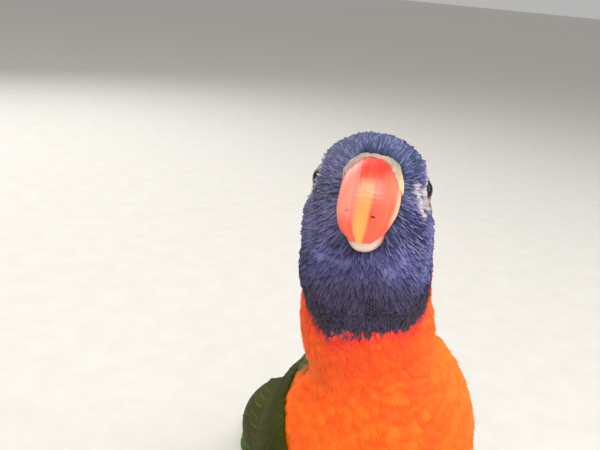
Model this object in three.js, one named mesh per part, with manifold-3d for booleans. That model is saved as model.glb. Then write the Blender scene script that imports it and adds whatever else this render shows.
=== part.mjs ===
// A rainbow lorikeet standing on the floor, life size, in millimetres with +Z up.
// The bird faces -Y, so its left side is +X. Its neck is stretched up and its face is
// turned to its right and raised, as when it looks up at somebody near by.
import * as THREE from "three";
import { mergeVertices } from "three/addons/utils/BufferGeometryUtils.js";
import Module from "manifold-3d";

const wasm = await Module();
wasm.setup();

const degree = Math.PI / 180;
const gap = 0.3; // what pieces that touch keep between them

// Where the parts of the body are, ahead of (-Y) or behind (+Y) the feet and above the floor
const eyesX = -13; // the neck leans to the bird's right
const eyesY = -27;
const eyesZ = 166;
const headTurn = 24; // to the bird's right, degrees
const headRaise = 25; // above level, degrees

// Head
const eyeRadius = 3.9;
const eyeSide = 9.8; // from the middle plane to an eye's centre
const eyeAxis = [0.46, 0.88, 0.07]; // forward, left, up
const lidRadius = 3.75;
const lidThickness = 0.95;
const lidHeight = 2.1; // of the ring of lids over the eye's centre, along its axis
const socketRadii = [4.5, 5.4]; // of the hollow that the lids stand in, at its floor and its mouth
const socketDepth = 4.5;

// Bill, measured from the midpoint of the eyes: forward and up
const culmen = [
  [7, 3.6], [11.5, 3.9], [16, 2.8], [19.4, -0.4], [20.8, -4.6], [20.4, -9], [18.4, -12.8], [16.6, -15.2],
];
const cuttingEdge = [
  [3, -5.5], [7, -6.2], [10, -6.6], [12.4, -7.4], [14.2, -8.8], [15.2, -10.6], [15.8, -12.8], [16, -15],
];
const billHalfWidths = [5, 5.3, 5.8, 6.2, 6.3, 6, 4.9, 2.2];
const cereEnd = 0.27; // share of the bill's length that the cere takes
const cereSwell = 1.14; // how much larger the cere is than the bill in it
const lowerBillTop = [[3, -6.6], [7, -7.2], [10, -7.8], [12, -9], [13.4, -10.8], [14.4, -13.2]];
const lowerBillKeel = [[1, -12.4], [5, -14.4], [8.5, -15.8], [11.4, -16.5], [13.4, -16.2], [14.8, -15]];
const lowerBillHalfWidths = [4.4, 4.4, 4.1, 3.5, 2.6, 1.6];
const nostrilRadius = 0.8;
const nostrilPlace = [13.4, 2.8, 3.6]; // forward, to the side and up

// Wing: its axis runs from the wrist to the tip of the longest primary
const leftWrist = [-21, 92]; // Y and Z
const rightWrist = [-13, 88]; // the right wing lies further back
const wingTipY = 102;
const wingTipZ = 16;
const wingLift = 0.8; // from the torso's surface to the wing's inner face
const wingDepth = 2.2; // through all tiers of its feathers
const wingMelt = 2; // how softly the wing's own form meets the torso's
const vaneThickness = 0.62;
const vaneTipThickness = 0.5;
const vaneTilt = 1.1; // a vane's lower edge stands out this much more than its upper one
const vaneRise = [0.9, 1.7]; // lift of a vane's middle at its root and tip

// Tail
const tailRootY = 40;
const tailRootZ = 49;
const tailLength = 122;
const tailTipZ = -0.2; // the tip's vanes are pared flat on the floor
const tailReachY = 110; // how far back the tail's length takes it
const tailBend = 2;
const tailSway = 17; // how far the tip lies to the bird's left

// Legs
const footX = 14;
const footY = -1;
const heelY = 9;
const heelZ = 21;
const hipX = 12;
const hipY = -3;
const hipZ = 52;
const tarsusRadius = 2.3;
const toeRadius = 2.1;
const clawRadius = 1.15;
// Each toe: direction from straight ahead towards the outside in degrees, length, claw length
const toes = [
  { name: "inner_front", turn: -22, length: 15, claw: 7 },
  { name: "outer_front", turn: 14, length: 20, claw: 8 },
  { name: "outer_back", turn: 140, length: 18, claw: 8 },
  { name: "inner_back", turn: 196, length: 11, claw: 6.5 },
];

// Head frame: forward, left and up of the turned and raised head
const forward = new THREE.Vector3(
  -Math.sin(headTurn * degree) * Math.cos(headRaise * degree),
  -Math.cos(headTurn * degree) * Math.cos(headRaise * degree),
  Math.sin(headRaise * degree),
);
const left = new THREE.Vector3(Math.cos(headTurn * degree), -Math.sin(headTurn * degree), 0);
const up = new THREE.Vector3().crossVectors(forward, left);
const eyes = new THREE.Vector3(eyesX, eyesY, eyesZ);

function inHead(f, l, u) {
  return eyes.clone().addScaledVector(forward, f).addScaledVector(left, l).addScaledVector(up, u);
}

// Body form: overlapping ellipsoids that melt together.
// A body ellipsoid's long axis leans forward and up by lean degrees.
function bodyEllipsoid(x, y, z, lean, long, wide, deep) {
  const axis = new THREE.Vector3(0, -Math.cos(lean * degree), Math.sin(lean * degree));
  const side = new THREE.Vector3(1, 0, 0);
  const depth = new THREE.Vector3().crossVectors(axis, side);
  return { centre: new THREE.Vector3(x, y, z), axes: [axis, side, depth], radii: [long, wide, deep] };
}

function headEllipsoid(f, u, long, wide, deep) {
  return { centre: inHead(f, 0, u), axes: [forward, left, up], radii: [long, wide, deep] };
}

const ellipsoids = [
  bodyEllipsoid(3, -3, 79, 66, 48, 26.5, 25.5), // trunk
  bodyEllipsoid(4.5, -18.5, 94, 73, 29, 22.4, 26.5), // breast
  bodyEllipsoid(0, 26, 58, 43, 31, 17, 15), // rump and vent
  bodyEllipsoid(-9, -22, 134, 80, 27, 15.5, 16), // neck
  headEllipsoid(-4.5, 0, 16.5, 13.6, 12.6), // cranium
  headEllipsoid(-4, -9.5, 12, 14, 11), // cheeks
  headEllipsoid(-5, -20, 11, 13.5, 11), // throat
  headEllipsoid(5.5, -2.5, 8, 9, 8.5), // forehead and lores
];
const blend = 2.6;

function ellipsoidDistance(part, point) {
  const from = point.clone().sub(part.centre);
  let unit = 0;
  let slope = 0;
  part.axes.forEach((axis, i) => {
    const share = from.dot(axis) / part.radii[i];
    unit += share * share;
    slope += (share / part.radii[i]) ** 2;
  });
  const length = Math.sqrt(unit);
  return slope > 0 ? (length * (length - 1)) / Math.sqrt(slope) : -Math.min(...part.radii);
}

// Distance from the body's surface: negative inside
function bodyDistance(point) {
  let sum = 0;
  for (const part of ellipsoids) sum += Math.exp(-ellipsoidDistance(part, point) / blend);
  return -blend * Math.log(sum);
}

// How far a ray from inside goes before it is the given distance outside the body
function reach(origin, direction, outside) {
  let low = 0;
  let high = 90;
  if (bodyDistance(origin) > outside) return 0;
  for (let i = 0; i < 26; i++) {
    const middle = (low + high) / 2;
    const point = origin.clone().addScaledVector(direction, middle);
    if (bodyDistance(point) > outside) high = middle;
    else low = middle;
  }
  return low;
}

// The body's middle line, from the rump to the middle of the head
const spine = new THREE.CatmullRomCurve3([
  new THREE.Vector3(0, 31, 53),
  new THREE.Vector3(0, 12, 68),
  new THREE.Vector3(0, -4, 86),
  new THREE.Vector3(-1.5, -15, 105),
  new THREE.Vector3(-6, -22, 125),
  new THREE.Vector3(-11, -25, 145),
  inHead(-5, 0, -3),
]);
const rumpShare = 0.18; // shares of the surface's run that are the rounded ends
const faceShare = 0.3;

// A point of the body's surface: run 0 is the rump's end and 1 the face, turn goes round it
function bodyPoint(run, turn, outside) {
  const even = THREE.MathUtils.clamp((run - rumpShare) / (1 - rumpShare - faceShare), 0, 1);
  const along = even * (1 + 0.45 * (1 - even)); // rings lie closer towards the head
  const origin = spine.getPointAt(along);
  const tangent = along < 1 ? spine.getTangentAt(along) : forward.clone();
  if (along > 0.75) tangent.lerp(forward, (along - 0.75) / 0.25).normalize();
  const across = new THREE.Vector3(1, 0, 0).lerp(left, THREE.MathUtils.smoothstep(along, 0.6, 1));
  across.addScaledVector(tangent, -across.dot(tangent)).normalize();
  const over = new THREE.Vector3().crossVectors(tangent, across);
  let lean = 0; // from the ring's plane towards the end of the run, radians
  if (run < rumpShare) lean = -(Math.PI / 2) * (1 - run / rumpShare);
  if (run > 1 - faceShare) lean = (Math.PI / 2) * (1 - (1 - run) / faceShare);
  const ray = across.multiplyScalar(Math.cos(turn)).addScaledVector(over, Math.sin(turn));
  ray.multiplyScalar(Math.cos(lean)).addScaledVector(tangent, Math.sin(lean));
  return origin.addScaledVector(ray, reach(origin, ray, outside));
}

// A closed solid from a geometry whose faces may point either way
function solid(geometry) {
  const bare = new THREE.BufferGeometry().setAttribute("position", geometry.getAttribute("position"));
  bare.setIndex(geometry.index);
  const merged = mergeVertices(bare, 1e-4);
  const index = merged.index.array;
  const corners = merged.attributes.position.array;
  const kept = [];
  for (let i = 0; i < index.length; i += 3) {
    const [a, b, c] = [index[i], index[i + 1], index[i + 2]];
    if (a !== b && b !== c && c !== a) kept.push(a, b, c);
  }
  const make = (triVerts) => new wasm.Manifold(new wasm.Mesh({ numProp: 3, vertProperties: corners, triVerts }));
  const made = make(new Uint32Array(kept));
  return made.volume() > 0 ? made : make(new Uint32Array(kept.reverse()));
}

// A sphere's surface laid on a shape: place(run, turn) gives each point, run 0 and 1 are its poles
function wrapped(runs, turns, place) {
  const geometry = new THREE.SphereGeometry(1, turns, runs);
  const position = geometry.getAttribute("position");
  for (let i = 0; i < position.count; i++) {
    const row = Math.floor(i / (turns + 1));
    const column = i % (turns + 1);
    const point = place(row / runs, ((column % turns) / turns) * 2 * Math.PI);
    position.setXYZ(i, point.x, point.y, point.z);
  }
  return solid(geometry);
}

// A plate between two faces that are split alike: place(u, v, side), side 1 is its outer face
function plate(lengths, widths, place) {
  const plane = new THREE.PlaneGeometry(1, 1, lengths, widths);
  const corners = plane.getAttribute("position");
  const count = corners.count;
  const points = [];
  for (const side of [1, 0]) {
    for (let i = 0; i < count; i++) {
      const point = place(corners.getX(i) + 0.5, 0.5 - corners.getY(i), side);
      points.push(point.x, point.y, point.z);
    }
  }
  const index = [...plane.index.array];
  for (let i = 0; i < plane.index.count; i += 3) {
    const [a, b, c] = [plane.index.array[i], plane.index.array[i + 1], plane.index.array[i + 2]];
    index.push(a + count, c + count, b + count);
  }
  const rim = [];
  for (let i = 0; i < lengths; i++) rim.push(i);
  for (let j = 0; j < widths; j++) rim.push(j * (lengths + 1) + lengths);
  for (let i = lengths; i > 0; i--) rim.push(widths * (lengths + 1) + i);
  for (let j = widths; j > 0; j--) rim.push(j * (lengths + 1));
  rim.forEach((a, i) => {
    const b = rim[(i + 1) % rim.length];
    index.push(a, b, b + count, a, b + count, a + count);
  });
  const geometry = new THREE.BufferGeometry();
  geometry.setAttribute("position", new THREE.Float32BufferAttribute(points, 3));
  geometry.setIndex(index);
  return solid(geometry);
}

// A tube of changing radius along a curve, with round ends
function limb(points, radii, runs, turns, flatten = 1) {
  const curve = new THREE.CatmullRomCurve3(points);
  const radius = spread(radii);
  return wrapped(runs + 4, turns, (run, turn) => {
    const row = Math.round(run * (runs + 4));
    const along = THREE.MathUtils.clamp((row - 2) / runs, 0, 1);
    const tangent = curve.getTangentAt(along);
    const across = new THREE.Vector3(tangent.z, 0.02, -tangent.x);
    if (Math.abs(tangent.z) < 0.5) across.set(-tangent.y, tangent.x, 0);
    across.addScaledVector(tangent, -across.dot(tangent)).normalize();
    const over = new THREE.Vector3().crossVectors(tangent, across);
    const end = row < 2 ? row - 2 : Math.max(0, row - 2 - runs);
    const lean = (end * Math.PI) / 4;
    const r = radius(along);
    return curve.getPointAt(along)
      .addScaledVector(across, r * Math.cos(turn) * Math.cos(lean))
      .addScaledVector(over, r * flatten * Math.sin(turn) * Math.cos(lean))
      .addScaledVector(tangent, r * Math.sin(lean));
  });
}

// A smooth function through evenly spaced values, read from 0 to 1
function spread(values) {
  const curve = new THREE.SplineCurve(values.map((value, i) => new THREE.Vector2(i, value)));
  return (t) => curve.getPoint(THREE.MathUtils.clamp(t, 0, 1)).y;
}

function spreadPoints(pairs) {
  const curve = new THREE.SplineCurve(pairs.map(([f, u]) => new THREE.Vector2(f, u)));
  return (t) => curve.getPoint(THREE.MathUtils.clamp(t, 0, 1));
}

// A shell of the bill between its upper and lower lines, from share 0 at the root to 1 at the tip
function billPiece(upperLine, lowerLine, halfWidths, from, to, runs, swell = 1) {
  const upper = spreadPoints(upperLine);
  const lower = spreadPoints(lowerLine);
  const halfWidth = spread(halfWidths);
  const closing = 2; // rings that round each end
  return wrapped(runs + 2 * closing, 14, (run, turn) => {
    const row = Math.round(run * (runs + 2 * closing));
    const share = THREE.MathUtils.clamp((row - closing) / runs, 0, 1);
    const t = from + (to - from) * share;
    const shrink = [0, 0.75, 1][Math.min(row, runs + 2 * closing - row, closing)];
    const top = upper(t);
    const bottom = lower(t);
    const height = Math.sign(Math.cos(turn)) * Math.abs(Math.cos(turn)) ** 0.8 * shrink * swell;
    const side = Math.sign(Math.sin(turn)) * Math.abs(Math.sin(turn)) ** 0.9 * shrink * swell;
    const f = (top.x + bottom.x) / 2 + (height * (top.x - bottom.x)) / 2;
    const u = (top.y + bottom.y) / 2 + (height * (top.y - bottom.y)) / 2;
    return inHead(f, side * halfWidth(t), u);
  });
}

function planeThrough(point, normal) {
  return { normal: normal.toArray(), offset: point.dot(normal) };
}

// The side of a solid that a plane's normal points to, less half a gap
function ahead(body, plane) {
  return body.trimByPlane(plane.normal, plane.offset + gap / 2);
}

function behind(body, plane) {
  return body.trimByPlane(plane.normal.map((n) => -n), -plane.offset + gap / 2);
}

// A union's largest closed surface
function largest(body) {
  return body.decompose().reduce((best, piece) => (piece.volume() > best.volume() ? piece : best));
}

function joined(pieces) {
  return largest(wasm.Manifold.union(pieces));
}

function onFloor(body) {
  return body.trimByPlane([0, 0, 1], 0);
}

const bodyRuns = 28;
const bodyTurns = 32;

function wholeBody(outside) {
  return wrapped(bodyRuns, bodyTurns, (run, turn) => bodyPoint(run, turn, outside));
}

// Cuts that part the head, neck and torso
const throatCut = planeThrough(new THREE.Vector3(0, -26, 152), new THREE.Vector3(-0.15, -0.45, 0.88).normalize());
const shoulderCut = planeThrough(new THREE.Vector3(0, -21, 145), new THREE.Vector3(0, -0.6, 0.8).normalize());

function eyeCentre(side) {
  return inHead(0, side * eyeSide, 0);
}

function ball(centre, radius, runs, turns) {
  return solid(new THREE.SphereGeometry(radius, turns, runs).translate(centre.x, centre.y, centre.z));
}

function nostril(side) {
  const [f, l, u] = nostrilPlace;
  return ball(inHead(f, side * l, u), nostrilRadius, 8, 10);
}

// Sets a shape made round +Z on an eye's axis, at a height over the eye's centre
function onEye(geometry, side, height) {
  const axis = new THREE.Vector3()
    .addScaledVector(forward, eyeAxis[0])
    .addScaledVector(left, side * eyeAxis[1])
    .addScaledVector(up, eyeAxis[2])
    .normalize();
  const centre = eyeCentre(side).addScaledVector(axis, height);
  geometry.applyQuaternion(new THREE.Quaternion().setFromUnitVectors(new THREE.Vector3(0, 0, 1), axis));
  return solid(geometry.translate(centre.x, centre.y, centre.z));
}

// The ring of lids round an eye
function lids(side) {
  return onEye(new THREE.TorusGeometry(lidRadius, lidThickness, 5, 16), side, lidHeight);
}

function eyeSocket(side) {
  const [floorRadius, mouthRadius] = socketRadii;
  const cone = new THREE.CylinderGeometry(mouthRadius, floorRadius, socketDepth, 12).rotateX(Math.PI / 2);
  return onEye(cone, side, lidHeight + socketDepth / 2);
}

// Wing surface: along its axis from the wrist to the tip, and round the body from below to above
function wingAxis(wrist) {
  const start = new THREE.Vector3(0, ...wrist);
  const end = new THREE.Vector3(0, wingTipY, wingTipZ);
  const along = end.clone().sub(start).normalize();
  return { start, end, over: new THREE.Vector3(0, -along.z, along.y) };
}

const wingAxes = { [1]: wingAxis(leftWrist), [-1]: wingAxis(rightWrist) };
const wingReachX = {
  [1]: spread([6, 10, 13, 15.5, 16.5, 15.5, 13.5, 11, 8.5, 6.3, 4.6]),
  [-1]: spread([20.5, 21, 20.5, 20.5, 20, 18.7, 15.6, 11.4, 8.4, 6, 4.6]), // held a little away from the body
};
const wingReachZ = spread([6, 10, 13, 16, 17, 16.5, 15, 13, 10.5, 8, 5.5]);
const wingLow = spread([-20, -41, -50, -51, -47, -40, -33, -26, -18, -11, -5]); // degrees
const wingHigh = spread([50, 49, 51, 56, 62, 70, 76, 74, 66, 52, 26]);

// A point of the wing's middle line, in the bird's middle plane
function wingOrigin(side, share) {
  return wingAxes[side].start.clone().lerp(wingAxes[side].end, share);
}

function wingRadius(side, share, angle) {
  const origin = wingOrigin(side, share);
  const ray = new THREE.Vector3(side * Math.cos(angle * degree), 0, 0);
  ray.addScaledVector(wingAxes[side].over, Math.sin(angle * degree));
  const overBody = reach(origin, ray, wingLift);
  const acrossReach = Math.cos(angle * degree) / wingReachX[side](share);
  const free = 1 / Math.hypot(acrossReach, Math.sin(angle * degree) / wingReachZ(share));
  return { ray, radius: (overBody + free + Math.hypot(overBody - free, wingMelt)) / 2 };
}

function wingPoint(side, share, angle, lift) {
  const { ray, radius } = wingRadius(side, share, angle);
  return wingOrigin(side, share).addScaledVector(ray, radius + lift);
}

// A sheet over the whole wing between two lifts from its surface
function wingSheet(side, inner, outer, margin = 0) {
  return plate(14, 8, (u, v, face) => {
    const angle = wingLow(u) - margin + (wingHigh(u) - wingLow(u) + 2 * margin) * v;
    return wingPoint(side, u, angle, face ? outer : inner);
  });
}

// The wing's tiers, from the hindmost. Each runs from its lowest feather to its highest one:
// root and tip give the share along the wing's axis at both, across the place from the wing's
// lower edge, 0, to its upper one, 1.
const primaries = {
  count: 6, root: [0.48, 0.46], tip: [1, 0.74], across: [0.16, 0.7], tipAcross: [0.44, 0.8],
  halfWidth: 5.2, taper: "pointed",
};
const secondaries = {
  count: 5, root: [0.26, 0.31], tip: [0.54, 0.7], across: [0.12, 0.86], tipAcross: [0.12, 0.84],
  halfWidth: 5.8, taper: "round",
};
const greaterCoverts = {
  count: 5, root: [0.13, 0.18], tip: [0.34, 0.44], across: [0.12, 0.86], tipAcross: [0.12, 0.86],
  halfWidth: 5.8, taper: "round",
};
const medianCoverts = {
  count: 5, root: [0.03, 0.06], tip: [0.2, 0.27], across: [0.12, 0.86], tipAcross: [0.12, 0.86],
  halfWidth: 5.6, taper: "round",
};
const tiers = [primaries, secondaries, greaterCoverts, medianCoverts];
const tapers = {
  pointed: spread([0.6, 0.9, 1, 1, 0.9, 0.62, 0.12]),
  round: spread([0.6, 0.9, 1, 1, 0.97, 0.8, 0.34]),
};

function wingAngle(share, across) {
  return THREE.MathUtils.lerp(wingLow(share), wingHigh(share), across);
}

// One vane of a tier, k from 0 at the wing's lower edge to 1 at its upper one
function wingVane(side, tier, k) {
  const mix = THREE.MathUtils.lerp;
  const rootShare = mix(tier.root[0], tier.root[1], k);
  const tipShare = mix(tier.tip[0], tier.tip[1], k) - 0.006 * Math.sin(17 * k + 5 * tier.count);
  const rootAcross = mix(tier.across[0], tier.across[1], k);
  const tipAcross = mix(tier.tipAcross[0], tier.tipAcross[1], k);
  return plate(4, 1, (u, v, outer) => {
    const share = mix(rootShare, tipShare, u);
    const middle = wingAngle(share, mix(rootAcross, tipAcross, u));
    const { radius } = wingRadius(side, share, middle);
    const width = 2 * (v - 0.5) * tier.halfWidth * tapers[tier.taper](u);
    const thickness = mix(vaneThickness, vaneTipThickness, u);
    const lift = mix(...vaneRise, u) - (v - 0.5) * vaneTilt + (outer - 0.5) * thickness;
    return wingPoint(side, share, middle + width / radius / degree, lift);
  });
}

function feathers(count, make) {
  return Array.from({ length: count }, (_, i) => make(i / (count - 1)));
}

const coreEnd = 0.62; // share of the wing's length

// What the vanes grow from: thick and smooth at the front, thin and hidden behind
function wingCore(side) {
  return plate(7, 5, (u, v, outer) => {
    const front = 1 - THREE.MathUtils.smoothstep(u, 0, 0.3);
    const angle = wingAngle(coreEnd * u, v * 0.94 + 0.03);
    const depth = 0.7 + (wingDepth - 1.2) * front * Math.sin(Math.PI * THREE.MathUtils.clamp(v, 0.1, 0.9));
    return wingPoint(side, coreEnd * u, angle, outer ? depth : 0.1);
  });
}

function wing(side) {
  const vanes = tiers.flatMap((tier) => feathers(tier.count, (k) => wingVane(side, tier, k)));
  return joined([wingCore(side), ...vanes]);
}

// Tail surface: distance along it, distance from its middle, height over its line
function tailPoint(along, across, lift) {
  const share = along / tailLength;
  const drop = (1 - Math.min(share, 1)) ** tailBend;
  const arch = 0.012 * across * across * drop;
  return new THREE.Vector3(
    across + tailSway * Math.max(0, share) ** 1.5,
    tailRootY + share * tailReachY,
    tailTipZ + (tailRootZ - tailTipZ) * drop - arch + lift,
  );
}

// Tail feathers, from the middle one on top to the outermost and shortest pair
const tailLengths = [122, 113, 100, 86, 71];
const tailMiddles = [0, 4.7, 7, 9.1, 10.8]; // from the tail's middle line
const tailHalfWidth = 4.3;
const tailStep = 0.95; // each pair lies this much under the one before

function tailVane(side, k) {
  const start = 6;
  return plate(6, 1, (u, v, outer) => {
    const along = start + (tailLengths[k] - start) * u;
    const closing = 1 - 0.35 * THREE.MathUtils.smoothstep(along / tailLength, 0.55, 1);
    const middle = side * tailMiddles[k] * THREE.MathUtils.lerp(0.7, 1, Math.min(1, 2 * u)) * closing;
    const width = 2 * (v - 0.5) * tailHalfWidth * tapers.pointed(u);
    const step = tailStep * k * Math.min(1, 2.4 * (1 - along / tailLength));
    const thickness = THREE.MathUtils.lerp(vaneThickness, vaneTipThickness, u);
    return tailPoint(along, middle + width, 0.3 - step + (outer - 0.5) * thickness);
  });
}

// Coverts over the tail's root, above (face 1) and below it (face -1)
function tailCovert(face, k) {
  const sideways = 2 * k - 1;
  const length = (face > 0 ? 34 : 40) - 9 * Math.abs(sideways);
  return plate(3, 1, (u, v, outer) => {
    const along = -6 + (length + 6) * u;
    const width = 2 * (v - 0.5) * 4.4 * tapers.round(u);
    const stand = face > 0 ? 5.2 - 4 * u : -9.5 + 3.6 * u;
    const droop = 0.9 * Math.abs(sideways) * face;
    return tailPoint(along, 7 * sideways + width, stand - droop + (outer - 0.5) * vaneThickness);
  });
}

function tail() {
  const pieces = [tailCore(), tailVane(1, 0)];
  for (const side of [1, -1]) for (let k = 1; k < tailLengths.length; k++) pieces.push(tailVane(side, k));
  for (const face of [1, -1]) pieces.push(...feathers(4, (k) => tailCovert(face, k)));
  return onFloor(largest(joined(pieces).subtract(wholeBody(gap))));
}

function tailCore() {
  const points = [-8, 8, 24].map((along) => tailPoint(along, 0, -1.5));
  return limb(points, [11, 8, 3.4], 4, 12, 0.7);
}

function thighSolid(side) {
  const hip = new THREE.Vector3(side * hipX, hipY, hipZ);
  const heel = new THREE.Vector3(side * footX, heelY, heelZ);
  const thigh = limb([hip, hip.clone().lerp(heel, 0.55), heel], [11.5, 8.6, 4.2], 6, 14);
  const clearWing = wingSheet(side, -0.8, wingDepth + 1, 6);
  return largest(behind(thigh, tarsusPlane(side)).subtract(wholeBody(gap)).subtract(clearWing));
}

function tarsusPlane(side) {
  const heel = new THREE.Vector3(side * footX, heelY, heelZ);
  const foot = new THREE.Vector3(side * footX, footY, 3);
  const down = foot.clone().sub(heel).normalize();
  return planeThrough(heel.clone().addScaledVector(down, 3), down);
}

function toeDirection(side, toe) {
  return new THREE.Vector3(side * Math.sin(toe.turn * degree), -Math.cos(toe.turn * degree), 0);
}

function toeEndPlane(side, toe) {
  const end = new THREE.Vector3(side * footX, footY, 0).addScaledVector(toeDirection(side, toe), toe.length);
  return planeThrough(end, toeDirection(side, toe));
}

function toeSolid(side, toe) {
  const direction = toeDirection(side, toe);
  const root = new THREE.Vector3(side * footX, footY, 4);
  const points = [0, 0.3, 0.65, 1].map((share, i) => {
    return root.clone().addScaledVector(direction, toe.length * share).setZ([3.6, 2.2, 1.6, 1.5][i]);
  });
  const body = limb(points, [toeRadius * 1.1, toeRadius, toeRadius * 0.95, toeRadius * 0.85], 4, 8);
  return behind(body, toeEndPlane(side, toe));
}

function footSolid(side) {
  const heel = new THREE.Vector3(side * footX, heelY, heelZ);
  const pad = new THREE.Vector3(side * footX, footY, 2.6);
  const tarsus = limb([heel, heel.clone().lerp(pad, 0.5), pad], [2.6, tarsusRadius, 2.9], 4, 10);
  const pieces = toes.map((toe) => toeSolid(side, toe));
  return onFloor(joined([ahead(tarsus, tarsusPlane(side)), ...pieces]));
}

function clawSolid(side, toe) {
  const direction = toeDirection(side, toe);
  const start = new THREE.Vector3(side * footX, footY, 2).addScaledVector(direction, toe.length - 1);
  const points = [0, 0.4, 0.75, 1].map((share, i) => {
    return start.clone().addScaledVector(direction, (toe.claw + 1) * share).setZ([1.9, 2.9, 2.3, 0.9][i]);
  });
  const claw = limb(points, [clawRadius * 1.1, clawRadius, 0.85, 0.5], 3, 8);
  return largest(ahead(claw, toeEndPlane(side, toe)));
}

// Colours
const paint = {
  blue: { color: 0x3b3f8f, roughness: 0.8 },
  orange: { color: 0xf0641e, roughness: 0.85 },
  green: { color: 0x3f6b22, roughness: 0.7 },
  bill: { color: 0xe9512c, roughness: 0.35 },
  cere: { color: 0xb9a08e, roughness: 0.55 },
  eye: { color: 0x2a1410, roughness: 0.1 },
  foot: { color: 0x6a6660, roughness: 0.7 },
  claw: { color: 0x2c2a28, roughness: 0.4 },
};

const bird = new THREE.Group();

function add(name, body, finish) {
  const made = body.getMesh();
  const geometry = new THREE.BufferGeometry();
  geometry.setAttribute("position", new THREE.BufferAttribute(new Float32Array(made.vertProperties), 3));
  geometry.setIndex(new THREE.BufferAttribute(new Uint32Array(made.triVerts), 1));
  geometry.computeVertexNormals();
  const mesh = new THREE.Mesh(geometry, new THREE.MeshStandardMaterial({ ...paint[finish], metalness: 0 }));
  mesh.name = name;
  bird.add(mesh);
}

const flesh = wholeBody(0);
const cere = billPiece(culmen, cuttingEdge, billHalfWidths, 0.02, cereEnd, 4, cereSwell);
const clearHead = wholeBody(gap);
let head = ahead(flesh, throatCut);
for (const side of [1, -1]) {
  head = head.subtract(eyeSocket(side)).add(lids(side));
  head = head.subtract(ball(eyeCentre(side), eyeRadius + gap, 8, 14));
}
add("head", largest(head), "blue");
add("neck", largest(ahead(behind(flesh, throatCut), shoulderCut)), "blue");
add("torso", largest(behind(flesh, shoulderCut)), "orange");

const billRoot = cereEnd + 0.025;
let cereSolid = cere.subtract(clearHead);
for (const side of [1, -1]) cereSolid = cereSolid.subtract(nostril(side));
add("cere", largest(cereSolid), "cere");
const upperBill = billPiece(culmen, cuttingEdge, billHalfWidths, billRoot, 1, 12);
add("upper_bill", largest(upperBill.subtract(clearHead).subtract(cere)), "bill");
const lowerBill = billPiece(lowerBillTop, lowerBillKeel, lowerBillHalfWidths, 0.02, 1, 8);
add("lower_bill", largest(lowerBill.subtract(clearHead).subtract(cere)), "bill");

for (const [word, side] of [["left", 1], ["right", -1]]) {
  add(`${word}_eye`, ball(eyeCentre(side), eyeRadius, 8, 14), "eye");
  add(`${word}_wing`, wing(side), "green");
  add(`${word}_thigh`, thighSolid(side), "green");
  add(`${word}_foot`, footSolid(side), "foot");
  for (const toe of toes) add(`${word}_claw_${toe.name}`, clawSolid(side, toe), "claw");
}
add("tail", tail(), "green");

// The origin is on the floor under the middle of the bird's outline
const box = new THREE.Box3().setFromObject(bird);
const middle = box.getCenter(new THREE.Vector3());
const origin = new THREE.Vector3(middle.x, middle.y, box.min.z);
const placed = new THREE.Group();
bird.position.sub(origin);
placed.add(bird);

export default placed;
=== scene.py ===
# Rainbow lorikeet standing upright on the floor, its face raised towards the viewer.
# Lengths are in mm, in the bird's own measure, until toRow() puts them into the frame's metres.
import math
import bpy
import numpy as np
from mathutils import Matrix, Vector
from mathutils.kdtree import KDTree


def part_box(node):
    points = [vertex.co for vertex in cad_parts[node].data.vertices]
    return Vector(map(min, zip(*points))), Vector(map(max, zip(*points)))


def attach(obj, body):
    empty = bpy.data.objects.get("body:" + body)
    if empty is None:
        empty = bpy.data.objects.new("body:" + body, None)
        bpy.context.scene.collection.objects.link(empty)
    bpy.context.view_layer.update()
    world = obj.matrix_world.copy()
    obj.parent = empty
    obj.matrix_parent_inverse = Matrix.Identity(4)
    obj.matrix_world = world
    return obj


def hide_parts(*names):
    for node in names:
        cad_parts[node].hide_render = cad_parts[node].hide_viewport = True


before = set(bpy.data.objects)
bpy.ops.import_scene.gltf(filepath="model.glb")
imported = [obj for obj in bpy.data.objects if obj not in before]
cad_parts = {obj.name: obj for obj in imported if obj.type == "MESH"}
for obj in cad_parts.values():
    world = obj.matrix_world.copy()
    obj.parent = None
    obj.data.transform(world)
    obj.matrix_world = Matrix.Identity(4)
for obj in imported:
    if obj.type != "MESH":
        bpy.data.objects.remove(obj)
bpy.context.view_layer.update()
luck = np.random.default_rng(41)
sides = ((1, "left"), (-1, "right"))  # the bird's own left is +X


def tone(code):  # a screen colour such as "3f4590" as Blender's linear rgba
    parts = [int(code[i:i + 2], 16) / 255 for i in (0, 2, 4)]
    return tuple(p / 12.92 if p <= 0.04045 else ((p + 0.055) / 1.055) ** 2.4 for p in parts) + (1.0,)


def unit(v):
    return v / np.maximum(np.linalg.norm(v, axis=-1, keepdims=True), 1e-9)


def smooth(low, high, x):
    t = np.clip((x - low) / (high - low), 0, 1)
    return t * t * (3 - 2 * t)


def mix(a, b, t):
    return a + (b - a) * t


def along(values, t):  # a smooth line through evenly spaced values, read from 0 to 1
    values = np.asarray(values, float)
    t = np.clip(np.asarray(t, float), 0, 1) * (len(values) - 1)
    i = np.clip(np.floor(t).astype(int), 0, len(values) - 2)
    s = t - i
    if values.ndim > 1:
        s = s[..., None]
    at = lambda k: values[np.clip(i + k, 0, len(values) - 1)]
    a, b, c, d = at(-1), at(0), at(1), at(2)
    return b + 0.5 * s * (c - a + s * (2 * a - 5 * b + 4 * c - d + s * (3 * (b - c) + d - a)))


# Head and body form, from the same numbers as the frame's solids

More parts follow.
